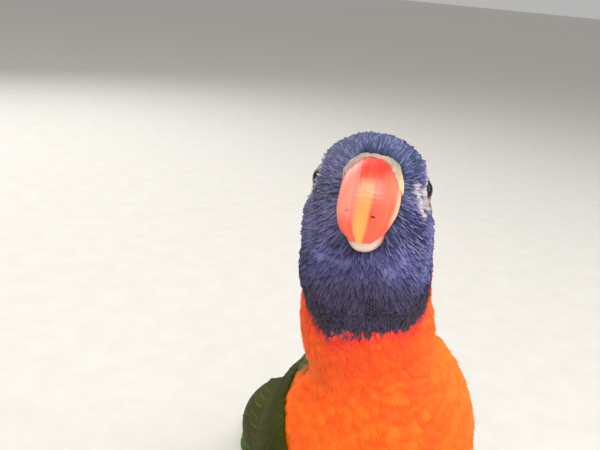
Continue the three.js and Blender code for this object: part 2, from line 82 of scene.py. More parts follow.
stance = {
    "eyes": (-13, -27, 166),  # midpoint of the eyes
    "turn": 24,  # head to the bird's right, degrees
    "raise": 25,  # bill upwards, degrees
    "blend": 2.6,  # how softly the lumps below run together, mm
    "widest": 90.0,  # no surface is farther than this from the middle line, mm
}
turn, lift = math.radians(stance["turn"]), math.radians(stance["raise"])
eyes = np.array(stance["eyes"], float)
forward = np.array([-math.sin(turn) * math.cos(lift), -math.cos(turn) * math.cos(lift), math.sin(lift)])
left = np.array([math.cos(turn), -math.sin(turn), 0.0])
up = np.cross(forward, left)
headAxes = np.array([forward, left, up])


def boxCentre(node):
    low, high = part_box(node)
    return np.array((low + high) / 2)


eyeMiddle = (boxCentre("left_eye") + boxCentre("right_eye")) / 2  # metres, where the frame has it


def toRow(points):
    return (np.asarray(points, float) - eyes) / 1000 + eyeMiddle


def inHead(f, l, u):
    return eyes + np.stack(np.broadcast_arrays(f, l, u), -1) @ headAxes


def headPlace(points):  # forward, left and up of the eyes' midpoint
    return (points - eyes) @ headAxes.T


def bodyLump(x, y, z, lean, long, wide, deep):
    a = math.radians(lean)
    axis = np.array([0, -math.cos(a), math.sin(a)])
    side = np.array([1.0, 0, 0])
    axes = np.array([axis, side, np.cross(axis, side)])
    return np.array([x, y, z], float), axes, np.array([long, wide, deep], float)


def headLump(f, u, long, wide, deep):
    return inHead(f, 0, u), headAxes, np.array([long, wide, deep], float)


lumps = [  # places, then half sizes
    bodyLump(3, -3, 79, 66, 48, 26.5, 25.5),  # trunk
    bodyLump(4.5, -18.5, 94, 73, 29, 22.4, 26.5),  # breast
    bodyLump(0, 26, 58, 43, 31, 17, 15),  # rump and vent
    bodyLump(-9, -22, 134, 80, 27, 15.5, 16),  # neck
    headLump(-4.5, 0, 16.5, 13.6, 12.6),  # cranium
    headLump(-4, -9.5, 12, 14, 11),  # cheeks
    headLump(-5, -20, 11, 13.5, 11),  # throat
    headLump(5.5, -2.5, 8, 9, 8.5),  # forehead
    bodyLump(2.5, -27, 124, 80, 11, 5.5, 6),  # ruffled feathers left of the neck; the solids lack this one
]


def bodyDistance(points):  # about how far outside the body, mm
    total = 0
    for centre, axes, radii in lumps:
        share = ((points - centre) @ axes.T) / radii
        size = np.linalg.norm(share, axis=-1)
        slope = np.linalg.norm(share / radii, axis=-1)
        total = total + np.exp(-size * (size - 1) / np.maximum(slope, 1e-6) / stance["blend"])
    return -stance["blend"] * np.log(total)


def reach(origin, ray, outside=0.0):  # how far along each ray the surface is
    low = np.zeros(origin.shape[:-1])
    high = np.full(origin.shape[:-1], stance["widest"])
    for _ in range(20):
        middle = (low + high) / 2
        out = bodyDistance(origin + ray * middle[..., None]) > outside
        high = np.where(out, middle, high)
        low = np.where(out, low, middle)
    return low


middleLine = np.array([  # from the rump to the head
    (0, 31, 53), (0, 12, 68), (0, -4, 86), (-1.5, -15, 105), (-6, -22, 125), (-11, -25, 145),
    inHead(-5, 0, -3),
], float)
rumpShare, faceShare = 0.18, 0.3  # parts of the run, 0 to 1, that close the rump and the face


# A surface kept as a grid of points, read at any run and turn
class Sheet:
    def __init__(self, points, closed):
        self.points, self.closed = points, closed
        rows, columns = points.shape[:2]
        edge = np.concatenate([points[:, -1:], points, points[:, :1]], 1) if closed else points
        dTurn = np.gradient(edge, axis=1)[:, 1:-1] if closed else np.gradient(points, axis=1)
        dRun = np.gradient(points, axis=0)
        self.normals = unit(np.cross(dTurn, dRun))
        self.runSize = np.linalg.norm(dRun, axis=-1) * (rows - 1)  # mm for a whole run
        self.turnSize = np.linalg.norm(dTurn, axis=-1) * (columns if closed else columns - 1)

    def read(self, grid, run, turnShare):
        rows, columns = grid.shape[:2]
        r = np.clip(run, 0, 1) * (rows - 1)
        i = np.clip(np.floor(r).astype(int), 0, rows - 2)
        c = (turnShare % 1) * columns if self.closed else np.clip(turnShare, 0, 1) * (columns - 1)
        j = np.floor(c).astype(int) if self.closed else np.clip(np.floor(c).astype(int), 0, columns - 2)
        s, t = r - i, c - j
        j0, j1 = j % columns, (j + 1) % columns if self.closed else j + 1
        if grid.ndim == 3:
            s, t = s[..., None], t[..., None]
        return mix(mix(grid[i, j0], grid[i, j1], t), mix(grid[i + 1, j0], grid[i + 1, j1], t), s)

    def at(self, run, turnShare, out=0.0):
        normal = unit(self.read(self.normals, run, turnShare))
        return self.read(self.points, run, turnShare) + normal * np.asarray(out)[..., None], normal


def bodySheet(rows, columns):
    line = along(middleLine, np.linspace(0, 1, 400))
    length = np.concatenate([[0], np.cumsum(np.linalg.norm(np.diff(line, axis=0), axis=1))])

    def onLine(share):
        return np.stack([np.interp(share * length[-1], length, line[:, k]) for k in range(3)], -1)

    run = np.linspace(0, 1, rows)
    even = np.clip((run - rumpShare) / (1 - rumpShare - faceShare), 0, 1)
    share = even * (1 + 0.45 * (1 - even))  # rings stand closer towards the head
    origin = onLine(share)
    tangent = unit(onLine(np.minimum(share + 0.01, 1)) - onLine(np.maximum(share - 0.01, 0)))
    tangent = unit(mix(tangent, forward, np.clip((share - 0.75) / 0.25, 0, 1)[:, None]))
    across = mix(np.array([1.0, 0, 0]), left, smooth(0.6, 1, share)[:, None])
    across = unit(across - tangent * (across * tangent).sum(-1, keepdims=True))
    over = np.cross(tangent, across)
    lean = np.where(run < rumpShare, -(math.pi / 2) * (1 - run / rumpShare), 0.0)
    lean = np.where(run > 1 - faceShare, (math.pi / 2) * (1 - (1 - run) / faceShare), lean)
    angle = np.arange(columns) / columns * 2 * math.pi
    ring = across[:, None] * np.cos(angle)[None, :, None] + over[:, None] * np.sin(angle)[None, :, None]
    ray = ring * np.cos(lean)[:, None, None] + tangent[:, None] * np.sin(lean)[:, None, None]
    origin = np.broadcast_to(origin[:, None], ray.shape)
    return Sheet(origin + ray * reach(origin, ray)[..., None], True)


print("body form")
body = bodySheet(260, 240)


# Meshes

def addAttributes(mesh, attributes):  # three values a point, read by the finishes
    for key, values in attributes.items():
        made = mesh.attributes.new(key, "FLOAT_VECTOR", "POINT")
        made.data.foreach_set("vector", np.asarray(values, np.float32).ravel())


def addBakeMap(mesh, places):  # a place a point on the sheet that colours may be baked to
    layer = mesh.uv_layers.new(name="OFBake")
    index = np.zeros(len(mesh.loops), np.int32)
    mesh.loops.foreach_get("vertex_index", index)
    layer.data.foreach_set("uv", np.asarray(places, np.float32)[index].ravel())


def placePiece(name, mesh, material):  # every piece is rigid and rides on the one body
    piece = bpy.data.objects.new(name, mesh)
    bpy.context.scene.collection.objects.link(piece)
    mesh.materials.append(material)
    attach(piece, "root")
    return piece


# A piece whose faces all have the same number of corners
def makeObject(name, points, faces, material, attributes, bake=None):
    mesh = bpy.data.meshes.new(name)
    points = np.asarray(points, float).reshape(-1, 3)
    quads = np.asarray(faces, np.int32)
    corners = quads.shape[1]
    mesh.vertices.add(len(points))
    mesh.vertices.foreach_set("co", toRow(points).astype(np.float32).ravel())
    mesh.loops.add(quads.size)
    mesh.loops.foreach_set("vertex_index", quads.ravel())
    mesh.polygons.add(len(quads))
    mesh.polygons.foreach_set("loop_start", np.arange(0, quads.size, corners, dtype=np.int32))
    mesh.polygons.foreach_set("loop_total", np.full(len(quads), corners, np.int32))
    mesh.update(calc_edges=True)
    mesh.validate()
    mesh.polygons.foreach_set("use_smooth", np.ones(len(mesh.polygons), bool))
    addAttributes(mesh, attributes)
    if bake is not None:
        addBakeMap(mesh, bake)
    return placePiece(name, mesh, material)


def gridFaces(rows, columns, closed=False):
    i, j = np.meshgrid(np.arange(rows - 1), np.arange(columns if closed else columns - 1), indexing="ij")
    k = (j + 1) % columns
    below, above = i * columns, (i + 1) * columns
    return np.stack([below + j, below + k, above + k, above + j], -1).reshape(-1, 4)


# Short calls for building one node tree
class Shade:
    def __init__(self, tree):
        self.tree = tree

    def node(self, kind, **values):
        made = self.tree.nodes.new(kind)
        for key, value in values.items():
            if key.startswith("in_"):
                self.put(made.inputs[int(key[3:])], value)
            else:
                setattr(made, key, value)
        return made

    def put(self, socket, value):
        if hasattr(value, "is_output"):
            self.tree.links.new(value, socket)
        else:
            socket.default_value = value

    def math(self, operation, a, b=0.0, c=0.0):
        return self.node("ShaderNodeMath", operation=operation, in_0=a, in_1=b, in_2=c).outputs[0]

    def blend(self, share, a, b):
        made = self.node("ShaderNodeMix", data_type="RGBA")
        for socket, value in ((made.inputs[0], share), (made.inputs[6], a), (made.inputs[7], b)):
            self.put(socket, value)
        return made.outputs[2]

    def steps(self, value, low, high, toLow=0.0, toHigh=1.0):
        made = self.node("ShaderNodeMapRange", interpolation_type="SMOOTHSTEP")
        for i, v in enumerate((value, low, high, toLow, toHigh)):
            self.put(made.inputs[i], v)
        return made.outputs[0]

    def noise(self, vector, scale, detail, rough):
        made = self.node("ShaderNodeTexNoise")
        self.put(made.inputs["Vector"], vector)
        made.inputs["Scale"].default_value = scale
        made.inputs["Detail"].default_value = detail
        made.inputs["Roughness"].default_value = rough
        return made.outputs[0]

    def attribute(self, name):
        return self.node("ShaderNodeAttribute", attribute_name=name)

    def split(self, vector):
        return self.node("ShaderNodeSeparateXYZ", in_0=vector).outputs


def makeGroup(name, inputs, outputs):  # gives the group, its tree's calls, and its ends inside
    group = bpy.data.node_groups.new(name, "ShaderNodeTree")
    for label, kind, value in inputs:
        socket = group.interface.new_socket(name=label, in_out="INPUT", socket_type=kind)
        socket.default_value = value
    for label, kind in outputs:
        group.interface.new_socket(name=label, in_out="OUTPUT", socket_type=kind)
    shade = Shade(group)
    return group, shade, shade.node("NodeGroupInput").outputs, shade.node("NodeGroupOutput").inputs


def makeMaterial(name, roughness, **fixed):  # fixed values are set on the surface's own sockets
    material = bpy.data.materials.new(name)
    material.use_nodes = True
    shade = Shade(material.node_tree)
    surface = material.node_tree.nodes["Principled BSDF"]
    surface.inputs["Roughness"].default_value = roughness
    for key, value in fixed.items():
        surface.inputs[key.replace("_", " ")].default_value = value
    return material, shade, surface.inputs


def useGroup(shade, group, **values):
    made = shade.node("ShaderNodeGroup", node_tree=group)
    for key, value in values.items():
        shade.put(made.inputs[key], value)
    return made.outputs


def bump(shade, height, strength, distance):
    made = shade.node("ShaderNodeBump")
    made.inputs["Strength"].default_value = strength
    made.inputs["Distance"].default_value = distance
    shade.put(made.inputs["Height"], height)
    return made.outputs[0]


# Plumage finish: the colours by zone, and what a single feather adds

plumageTones = {  # laid over each other in the order that markingsGroup gives
    "green": tone("465a1c"), "lime": tone("b0a83a"), "orange": tone("fc5a0a"), "amber": tone("fc7e1a"),
    "coral": tone("f0412a"), "navy": tone("2c2f66"), "violet": tone("4b4b7c"), "bib": tone("2a1d20"),
    "sheen": tone("8f8dbb"), "pale": tone("c4bcc0"), "teal": tone("33495f"), "dusk": tone("2e3055"),
}
plumageClouds = {"scale": 130.0, "dusk": (0.47, 0.6), "lit": (0.46, 0.34), "litShare": 0.28}  # in the blue
barbFacts = {
    "slant": -1.6, "scale": 2.4,  # of the barbs' fine grain
    # The near black of painted shade, laid on each feather's covered root end
    "coveredRootShadeTone": (0.004, 0.004, 0.006, 1),
    "shaft": (0.42, 0.05), "shaftHeight": 0.6,
}
plumageFinishes = {  # change is how unlike feathers are, and grain is across and along each one
    # The skin has no vane, so all of it takes the root's painted shade, dark between the feathers
    "skin under plumage": {
        "rootShade": 0.35, "change": 0.0, "barbs": 0.4, "grain": (2.2, 16.0), "roughness": 0.62,
    },
    "head feathers": {
        "rootShade": 0.42, "change": 0.4, "barbs": 1.0, "grain": (3.6, 1.6), "roughness": 0.8,
    },
    "soft body feathers": {
        "rootShade": 0.3, "change": 0.16, "barbs": 0.4, "grain": (2.2, 16.0), "roughness": 0.7,
    },
}


# Plumage colour from the shares that zonesOf() keeps on the mesh
def markingsGroup():
    group, s, given, out = makeGroup("plumageMarkings", [
        (key, "NodeSocketColor", plumageTones[key]) for key in plumageTones
    ], [("Color", "NodeSocketColor"), ("Streak", "NodeSocketFloat")])
    warm, cool, extra = (s.split(s.attribute(name).outputs["Vector"]) for name in ("warm", "cool", "extra"))
    cloud = s.noise(s.node("ShaderNodeNewGeometry").outputs["Position"], plumageClouds["scale"], 3.0, 0.6)
    dusk = s.math("MULTIPLY", cool[1], s.steps(cloud, *plumageClouds["dusk"]))
    lit = s.math("MULTIPLY", cool[1], s.steps(cloud, *plumageClouds["lit"], 0.0, plumageClouds["litShare"]))
    teal = s.math("MULTIPLY", cool[1], s.split(s.attribute("brow").outputs["Vector"])[0])
    colour = given["green"]
    for key, share in (
        ("lime", extra[0]), ("orange", warm[0]), ("amber", warm[1]), ("coral", warm[2]),
        ("navy", cool[0]), ("violet", cool[1]), ("dusk", dusk), ("sheen", lit), ("teal", teal),
        ("bib", cool[2]), ("pale", extra[1]),
    ):
        colour = s.blend(share, colour, given[key])
    s.put(out["Color"], colour)
    s.put(out["Streak"], extra[2])
    return group


# One feather: its root end darkened towards black as painted shade under the feathers above, over its own
# darker base; paler shaft, fine barbs and its own small change of tone
def barbsGroup():
    group, s, given, out = makeGroup("featherBarbs", [
        ("Color", "NodeSocketColor", (0.5, 0.5, 0.5, 1)), ("Shaft", "NodeSocketColor", (0.6, 0.6, 0.6, 1)),
        ("Streak", "NodeSocketFloat", 0.0), ("Root Shade", "NodeSocketFloat", 0.5),
        ("Change", "NodeSocketFloat", 0.2), ("Barbs", "NodeSocketFloat", 0.3),
        ("Grain Across", "NodeSocketFloat", 2.2), ("Grain Along", "NodeSocketFloat", 16.0),
    ], [("Color", "NodeSocketColor"), ("Height", "NodeSocketFloat")])
    alongVane, across, luckShare = s.split(s.attribute("vane").outputs["Vector"])[:3]
    away = s.math("ABSOLUTE", across)
    grainAlong = s.math("MULTIPLY", alongVane, given["Grain Along"])
    slanted = s.math("MULTIPLY_ADD", away, barbFacts["slant"], grainAlong)
    barb = s.node("ShaderNodeCombineXYZ", in_0=s.math("MULTIPLY", across, given["Grain Across"]),
                  in_1=slanted, in_2=s.math("MULTIPLY", luckShare, 37.0)).outputs[0]
    grain = s.noise(barb, barbFacts["scale"], 3.0, 0.65)
    # Painted shade: darker towards the root, which the feathers above cover
    rootShading = s.steps(alongVane, 0.75, 0.1, 0.0, given["Root Shade"])
    colour = s.blend(rootShading, given["Color"], barbFacts["coveredRootShadeTone"])
    grown = s.math("MULTIPLY_ADD", s.math("SUBTRACT", luckShare, 0.5), given["Change"], 1.0)
    grown = s.math("MULTIPLY_ADD", s.math("SUBTRACT", grain, 0.5), given["Barbs"], grown)
    scaled = s.node("ShaderNodeVectorMath", operation="SCALE", in_0=colour)
    s.put(scaled.inputs["Scale"], grown)
    shaft = s.math("MULTIPLY", s.steps(away, *barbFacts["shaft"]), s.steps(alongVane, 0.3, 0.7))
    streak = s.math("MULTIPLY", shaft, given["Streak"])
    s.put(out["Color"], s.blend(streak, scaled.outputs[0], given["Shaft"]))
    s.put(out["Height"], s.math("ADD", grain, s.math("MULTIPLY", shaft, barbFacts["shaftHeight"])))
    return group


markings = markingsGroup()
barbs = barbsGroup()


def plumageMaterial(name):
    facts = plumageFinishes[name]
    material, s, surface = makeMaterial(name, facts["roughness"], Specular_IOR_Level=0.25)
    marked = useGroup(s, markings, **plumageTones)
    done = useGroup(s, barbs, **{
        "Color": marked["Color"], "Shaft": plumageTones["sheen"], "Streak": marked["Streak"],
        "Root Shade": facts["rootShade"], "Change": facts["change"], "Barbs": facts["barbs"],
        "Grain Across": facts["grain"][0], "Grain Along": facts["grain"][1],
    })
    s.put(surface["Base Color"], done["Color"])
    s.put(surface["Normal"], bump(s, done["Height"], 0.5, 0.00015))
    return material


# Where the colours lie

zoneEdges = {  # run at which a colour ends, at 16 turns: left side, back, right side, front and round again
    "blue": [.655, .668, .65, .635, .625, .63, .64, .64, .62, .593, .562, .572, .587, .574, .564, .584],
    "belly": [.10, .10, .10, .10, .10, .10, .10, .10, .14, .20, .27, .31, .32, .31, .27, .20],
    "vent": [.05, .05, .05, .05, .05, .05, .05, .05, .08, .12, .16, .19, .20, .19, .16, .12],
}


def around(values, turnShare):  # values evenly round the body, read at any turn
    count = len(values)
    padded = np.concatenate([values[-3:], values, values[:4]])
    return along(padded, ((np.asarray(turnShare) % 1) * count + 3) / (len(padded) - 1))


eyeFacts = {
    "radius": 3.9, "side": 9.8,  # half of the way between the eyes
    "axis": (0.46, 0.88, 0.07),  # the way the left eye looks: forward, left and up
    "lidRing": 3.45, "lidOut": 1.9, "lidThickness": 0.95,
    "clearOut": 2.1, "clearRadius": 4.35,  # the ball round the lids that feathers keep out of
}


def eyeAxisOf(side):
    return unit(np.array(eyeFacts["axis"]) * [1, side, 1] @ headAxes)


eyeCentres = {side: inHead(0, side * eyeFacts["side"], 0) for side, word in sides}


def eyeDistance(points):  # from the middle of the nearer ring of lids
    return np.minimum(*(
        np.linalg.norm(points - eyeCentres[side] - eyeAxisOf(side) * eyeFacts["clearOut"], axis=-1)
        for side, word in sides))


# Pale skin in a short strip before the left eye, given forward, left and up of the eyes' midpoint
bareStrip = np.array([(9.2, 9.9, -1.6), (7.0, 11.3, -3.6), (5.2, 12.2, -5.4)])


def baredSkin(points):  # 1 in that strip and on the skin round each eye
    head = headPlace(points)
    away = np.full(len(head), 99.0)
    for a, b in zip(bareStrip[:-1], bareStrip[1:]):
        t = np.clip((head - a) @ (b - a) / ((b - a) @ (b - a)), 0, 1)
        away = np.minimum(away, np.linalg.norm(head - a - t[:, None] * (b - a), axis=-1))
    return np.maximum(smooth(2.1, 1.3, away), smooth(5.7, 4.9, eyeDistance(points)))


# Share of each colour at these places; chance, 0 to 1, moves a feather's own edge a little
def zonesOf(run, turnShare, points, chance):
    head = headPlace(points)
    ragged = (chance - 0.5) * 0.016
    front = np.cos((turnShare - 0.75) * 2 * math.pi)  # 1 in front, -1 along the back
    blueEdge = around(zoneEdges["blue"], turnShare) + ragged
    blue = smooth(-0.005, 0.005, run - blueEdge)
    below = blueEdge - run  # how far under the blue
    bib = blue * smooth(0.115, 0.035, run - blueEdge + 0.05 * (chance - 0.5)) * smooth(-0.1, 0.5, front)
    bib = np.maximum(bib, blue * 0.75 * smooth(-17, -26, head[:, 2]) * smooth(-0.3, 0.3, front))
    beforeWing = smooth(0.3, 0.45, turnShare) * smooth(0.75, 0.6, turnShare) * smooth(0.3, 0.4, run)
    fromBack = front + 0.25 * smooth(0.42, 0.56, run) + 0.35 * beforeWing + (chance - 0.5) * 0.2
    back = smooth(0.02, -0.16, fromBack)
    collar = back * smooth(0.085, 0.055, below) * (1 - blue)
    orange = (1 - back) * (1 - blue)
    coral = (1 - back) * smooth(0.05, 0.012, below - ragged) * (1 - blue)
    coral = np.maximum(coral, (1 - blue) * (1 - back) * 0.5 * smooth(0.16, 0.02, below))
    belly = smooth(0.012, -0.012, run - around(zoneEdges["belly"], turnShare) - 2 * ragged) * (1 - back)
    vent = smooth(0.015, -0.015, run - around(zoneEdges["vent"], turnShare) - 2 * ragged)
    flank = (1 - back) * smooth(0.45, 0.05, front) * smooth(0.42, 0.3, run)
    amber = 0.22 + 0.5 * (chance - 0.5) + 0.5 * smooth(0.45, 0.36, run) * smooth(0.3, 0.9, front)
    amber = orange * np.clip(amber, 0, 1)
    toLeft = (turnShare + 0.25) % 1  # 0 in front, .25 on the left side
    amber = np.maximum(amber, orange * 0.75 * smooth(0.04, 0.16, toLeft) * smooth(0.5, 0.3, toLeft))
    amber = np.maximum(amber, flank * 0.8)
    greyerRightCheek = 0.09 * smooth(2, -11, head[:, 1]) * smooth(-20, -10, head[:, 2])  # greyer on the right cheek
    nearEye = np.maximum(baredSkin(points), greyerRightCheek * (1 - bib)) * blue
    lit = 0.6 + 0.4 * smooth(-12, 6, head[:, 1])  # the bird's left cheek is the paler one
    rim = smooth(10.5, 7.5, np.hypot(head[:, 1], (head[:, 2] + 4) * 0.72)) * smooth(5, 8, head[:, 0])
    teal = 0.5 * smooth(2, 5, head[:, 2]) * smooth(0, 7, head[:, 0])  # the brow
    teal = np.maximum(teal, 0.4 * rim)  # and round the bill
    streak = blue * (1 - bib) * smooth(-30, -8, head[:, 2]) * lit * smooth(0.25, 0.9, chance) * 0.65
    warm = np.stack([orange * (1 - belly), amber * (1 - belly), coral], -1)
    cool = np.stack([belly * (1 - vent), blue, bib], -1)
    extra = np.stack([np.maximum(collar, vent * (1 - blue)), nearEye, np.maximum(streak, bib * 0.12)], -1)
    return {"warm": warm, "cool": cool, "extra": extra, "brow": np.stack([teal, 0 * teal, 0 * teal], -1)}


# Flesh: body and thighs in one smooth form

legFacts = {  # the left leg; the right one is mirrored
    "hip": (12, -3, 52), "heel": (14, 9, 21), "foot": (14, -1, 3),
    "thighRadii": [11.5, 8.6, 4.2], "melt": 1.6,  # how softly the thighs run into the body, mm
}
hip, heel = np.array(legFacts["hip"], float), np.array(legFacts["heel"], float)


def thighDistance(points, side):
    a, b = hip * [side, 1, 1], heel * [side, 1, 1]
    t = np.clip((points - a) @ (b - a) / ((b - a) @ (b - a)), 0, 1)
    return np.linalg.norm(points - a - t[..., None] * (b - a), axis=-1) - along(legFacts["thighRadii"], t)


def fleshDistance(points):
    d = [bodyDistance(points), thighDistance(points, 1), thighDistance(points, -1)]
    low = np.minimum(np.minimum(d[0], d[1]), d[2])
    return low - legFacts["melt"] * np.log(sum(np.exp(-(x - low) / legFacts["melt"]) for x in d))


def fleshNormal(points):
    d = fleshDistance(points)
    step = 0.04
    slope = np.stack([fleshDistance(points + step * axis) - d for axis in np.eye(3)], -1)
    return d, unit(slope)


def settle(points, height, times=2):  # brings points to a height over the flesh
    for _ in range(times):
        d, normal = fleshNormal(points)
        points = points - normal * (d - height)[..., None]
    return points, normal


# A round-ended tube along a curve, as rings of points
def tube(curve, radii, rows, turns, flatten=1.0):
    curve = np.asarray(curve, float)
    radii = np.asarray(radii, float)
    share = np.linspace(0, 1, rows)
    centre = along(curve, share)
    tangent = unit(np.gradient(centre, axis=0))
    across = np.where(np.abs(tangent[:, 2:]) < 0.5,
                      np.stack([-tangent[:, 1], tangent[:, 0], 0 * share], -1),
                      np.stack([tangent[:, 2], 0.02 + 0 * share, -tangent[:, 0]], -1))
    across = unit(across - tangent * (across * tangent).sum(-1, keepdims=True))
    over = np.cross(tangent, across)
    r = along(radii, share)
    angle = np.arange(turns) / turns * 2 * math.pi
    rings = []
    start, end = [(0, -75), (0, -45), (0, -20)], [(-1, 20), (-1, 45), (-1, 75)]  # ring, degrees of rounding
    for i, lean in start + [(k, 0) for k in range(rows)] + end:
        c, s = math.cos(math.radians(lean)), math.sin(math.radians(lean))
        ring = across[i] * np.cos(angle)[:, None] + over[i] * np.sin(angle)[:, None] * flatten
        rings.append(centre[i] + ring * r[i] * c + tangent[i] * r[i] * s)
    return np.array(rings)


# Points, four-cornered faces and end faces of rings that are shut by a point at each end
def closedShell(rings):
    rows, columns = rings.shape[:2]
    points = np.concatenate([rings.reshape(-1, 3), rings[:1].mean(1), rings[-1:].mean(1)])
    j = np.arange(columns)
    k, end = (j + 1) % columns, (rows - 1) * columns
    caps = np.concatenate([
        np.stack([k, j, np.full(columns, rows * columns)], -1),
        np.stack([end + j, end + k, np.full(columns, rows * columns + 1)], -1),
    ])
    return points, gridFaces(rows, columns, True), caps


# The same as a piece; its attributes are given for the rings, and their ends take each end ring's mean
def shellObject(name, rings, material, attributes):
    points, faces, caps = closedShell(rings)
    mesh = bpy.data.meshes.new(name)
    mesh.from_pydata(toRow(points).tolist(), [], faces.tolist() + caps.tolist())
    mesh.polygons.foreach_set("use_smooth", np.ones(len(mesh.polygons), bool))
    for key, values in attributes.items():
        values = np.asarray(values, np.float32).reshape(rings.shape)
        addAttributes(mesh, {
            key: np.concatenate([values.reshape(-1, 3), values[:1].mean(1), values[-1:].mean(1)]),
        })
    return placePiece(name, mesh, material)


def bodyTree():
    flat = body.points.reshape(-1, 3)
    tree = KDTree(len(flat))
    for i, p in enumerate(flat):
        tree.insert(p, i)
    tree.balance()
    return tree


nearBody = bodyTree()


def runAndTurn(points):  # of the nearest place on the body
    rows, columns = body.points.shape[:2]
    index = np.array([nearBody.find(p)[1] for p in points])
    return (index // columns) / (rows - 1), (index % columns) / columns


def fromRow(points):
    return (np.asarray(points, float) - eyeMiddle) * 1000 + eyes


# Lets the thighs' green, a little yellowish, take the place of the body's colours
def thighZones(zones, share):
    for key in zones:
        zones[key] = zones[key] * (1 - share)[:, None]
    zones["extra"][:, 0] = np.maximum(zones["extra"][:, 0], share * 0.3)
    return zones


def thighShare(points):  # 1 on the thighs
    d = np.minimum(thighDistance(points, 1), thighDistance(points, -1))
    return smooth(1.5, -1.0, d - np.maximum(bodyDistance(points), -4) * 0.6) * smooth(56, 48, points[:, 2])


skinFacts = {
    "depth": 1.7,  # below the solids' surface, mm, where feathers cover it
    "bareDepth": 0.9,  # the same where it is bare
    "voxel": 0.0011,  # of the remesh that joins body and thighs, metres
    "thighRadii": [11.5, 8.6, 3.4],
}


def makeSkin():
    shells = [closedShell(body.points[2:-2:4, ::4])]
    for side, word in sides:
        a, b = hip * [side, 1, 1], heel * [side, 1, 1]
        middle, end = mix(a, b, 0.5), b + [0, -1, -3]
        shells.append(closedShell(tube([a, middle, end], skinFacts["thighRadii"], 12, 24)))
    points, faces, start = [], [], 0
    for shellPoints, quads, triangles in shells:
        points += toRow(shellPoints).tolist()
        faces += (quads + start).tolist() + (triangles + start).tolist()
        start += len(shellPoints)
    mesh = bpy.data.meshes.new("skin")
    mesh.from_pydata(points, [], faces)
    piece = bpy.data.objects.new("skin", mesh)
    bpy.context.scene.collection.objects.link(piece)
    remesh = piece.modifiers.new("one skin", "REMESH")
    remesh.mode, remesh.voxel_size = "VOXEL", skinFacts["voxel"]
    bpy.context.view_layer.update()
    done = bpy.data.meshes.new_from_object(piece.evaluated_get(bpy.context.evaluated_depsgraph_get()))
    piece.modifiers.clear()
    piece.data = done
    bpy.data.meshes.remove(mesh)
    done.name = "skin"
    flat = np.zeros(len(done.vertices) * 3, np.float32)
    done.vertices.foreach_get("co", flat)
    points = fromRow(flat.reshape(-1, 3))
    points, _ = settle(points, -mix(skinFacts["depth"], skinFacts["bareDepth"], baredSkin(points)), 4)
    done.vertices.foreach_set("co", toRow(points).astype(np.float32).ravel())
    done.polygons.foreach_set("use_smooth", np.ones(len(done.polygons), bool))
    run, turnShare = runAndTurn(points)
    zones = zonesOf(run, turnShare, points, np.full(len(points), 0.5))
    addAttributes(done, thighZones(zones, thighShare(points)))
    addBakeMap(done, np.stack([turnShare, run * 0.8], -1))
    done.materials.clear()
    done.materials.append(plumageMaterial("skin under plumage"))
    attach(piece, "root")
    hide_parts("head", "neck", "torso", "left_thigh", "right_thigh")


print("skin")
makeSkin()


# Body feathers

# Centre lines that leave each root, follow the flesh and rise from height[0] to height[1]
def layFeathers(roots, direction, length, height, stations):
    points, normal = settle(roots, height[0])
    direction = unit(direction - normal * (direction * normal).sum(-1, keepdims=True))
    line, sides, normals = [points], [np.cross(normal, direction)], [normal]
    step = length / (stations - 1)
    for k in range(1, stations):
        share = k / (stations - 1)
        points = points + direction * step[:, None]
        d, normal = fleshNormal(points)
        points = points - normal * (d - mix(height[0], height[1], share))[:, None]
        direction = unit(direction - normal * (direction * normal).sum(-1, keepdims=True))
        line.append(points)
        sides.append(np.cross(normal, direction))
        normals.append(normal)
    return np.stack(line, 1), np.stack(sides, 1), np.stack(normals, 1)


# A flat plan of one feather: station, place across and small lift of each point, and its faces
def featherPlan(taper, columns, barbs):
    solidRows = len(taper) - 1 if barbs else len(taper)
    across = np.linspace(-1, 1, columns)
    plan = [(k, w * taper[k], 0.0) for k in range(solidRows) for w in across]
    faces = [
        (r * columns + c, r * columns + c + 1, (r + 1) * columns + c + 1, (r + 1) * columns + c)
        for r in range(solidRows - 1) for c in range(columns - 1)
    ]
    if barbs:  # the last row parts into barbs of unlike length
        base = (solidRows - 1) * columns
        for c in range(columns - 1):
            middle = (across[c] + across[c + 1]) / 2
            reachOut = solidRows - 1 + barbs * (1 - 0.35 * abs(middle) - (0.25 if c % 2 else 0.0))
            start = len(plan)
            plan += [(reachOut, (middle * 1.05 + edge) * taper[-1], 0.05) for edge in (-0.05, 0.05)]
            faces.append((base + c, base + c + 1, start + 1, start))
    return np.array(plan), np.array(faces)


# How the small feathers are spread and sized, in mm. Rise is each one's height over the flesh at its root
# and tip, arch how its sides bend down, and swirl how unlike their ways are. Sizes are before, after, and
# the runs between which a size changes.
plumageFacts = {
    "head": {
        "run": (0.62, 1.0), "spacing": 0.66, "length": 5.4, "width": 1.45, "rise": (-1.1, 0.0), "arch": 0.15,
        "swirl": 0.1, "sizes": [(1.15, 0.5, 0.7, 0.96)],  # small on the face
    },
    "neck": {
        "run": (0.52, 0.74), "spacing": 1.15, "length": 8.5, "width": 2.4, "rise": (-1.2, 0.1), "arch": 0.25,
        "swirl": 0.12, "sizes": [],
    },
    "body": {
        "run": (0.0, 0.56), "spacing": 1.75, "length": 11.5, "width": 4.6, "rise": (-1.3, 0.15), "arch": 0.25,
        "swirl": 0.12, "sizes": [(1.0, 0.62, 0.4, 0.54), (0.8, 1, 0, 0.15)],
    },
    "thigh": {
        "count": 900, "length": (7.5, 3.5), "width": (3.4, 1.8), "rise": (-1.2, 0.1), "arch": 0.25,
        "turnStep": 2.399963,  # even places round the thigh, radians
    },
    "facesInAPiece": 95000,
    "bare": {"length": 0.25, "width": 0.3, "tipRise": -0.7},  # the stubble on bare skin, as shares and mm
}
bakePatch = (0.0014, 0.0028)  # each feather's half width and length on the bake sheet
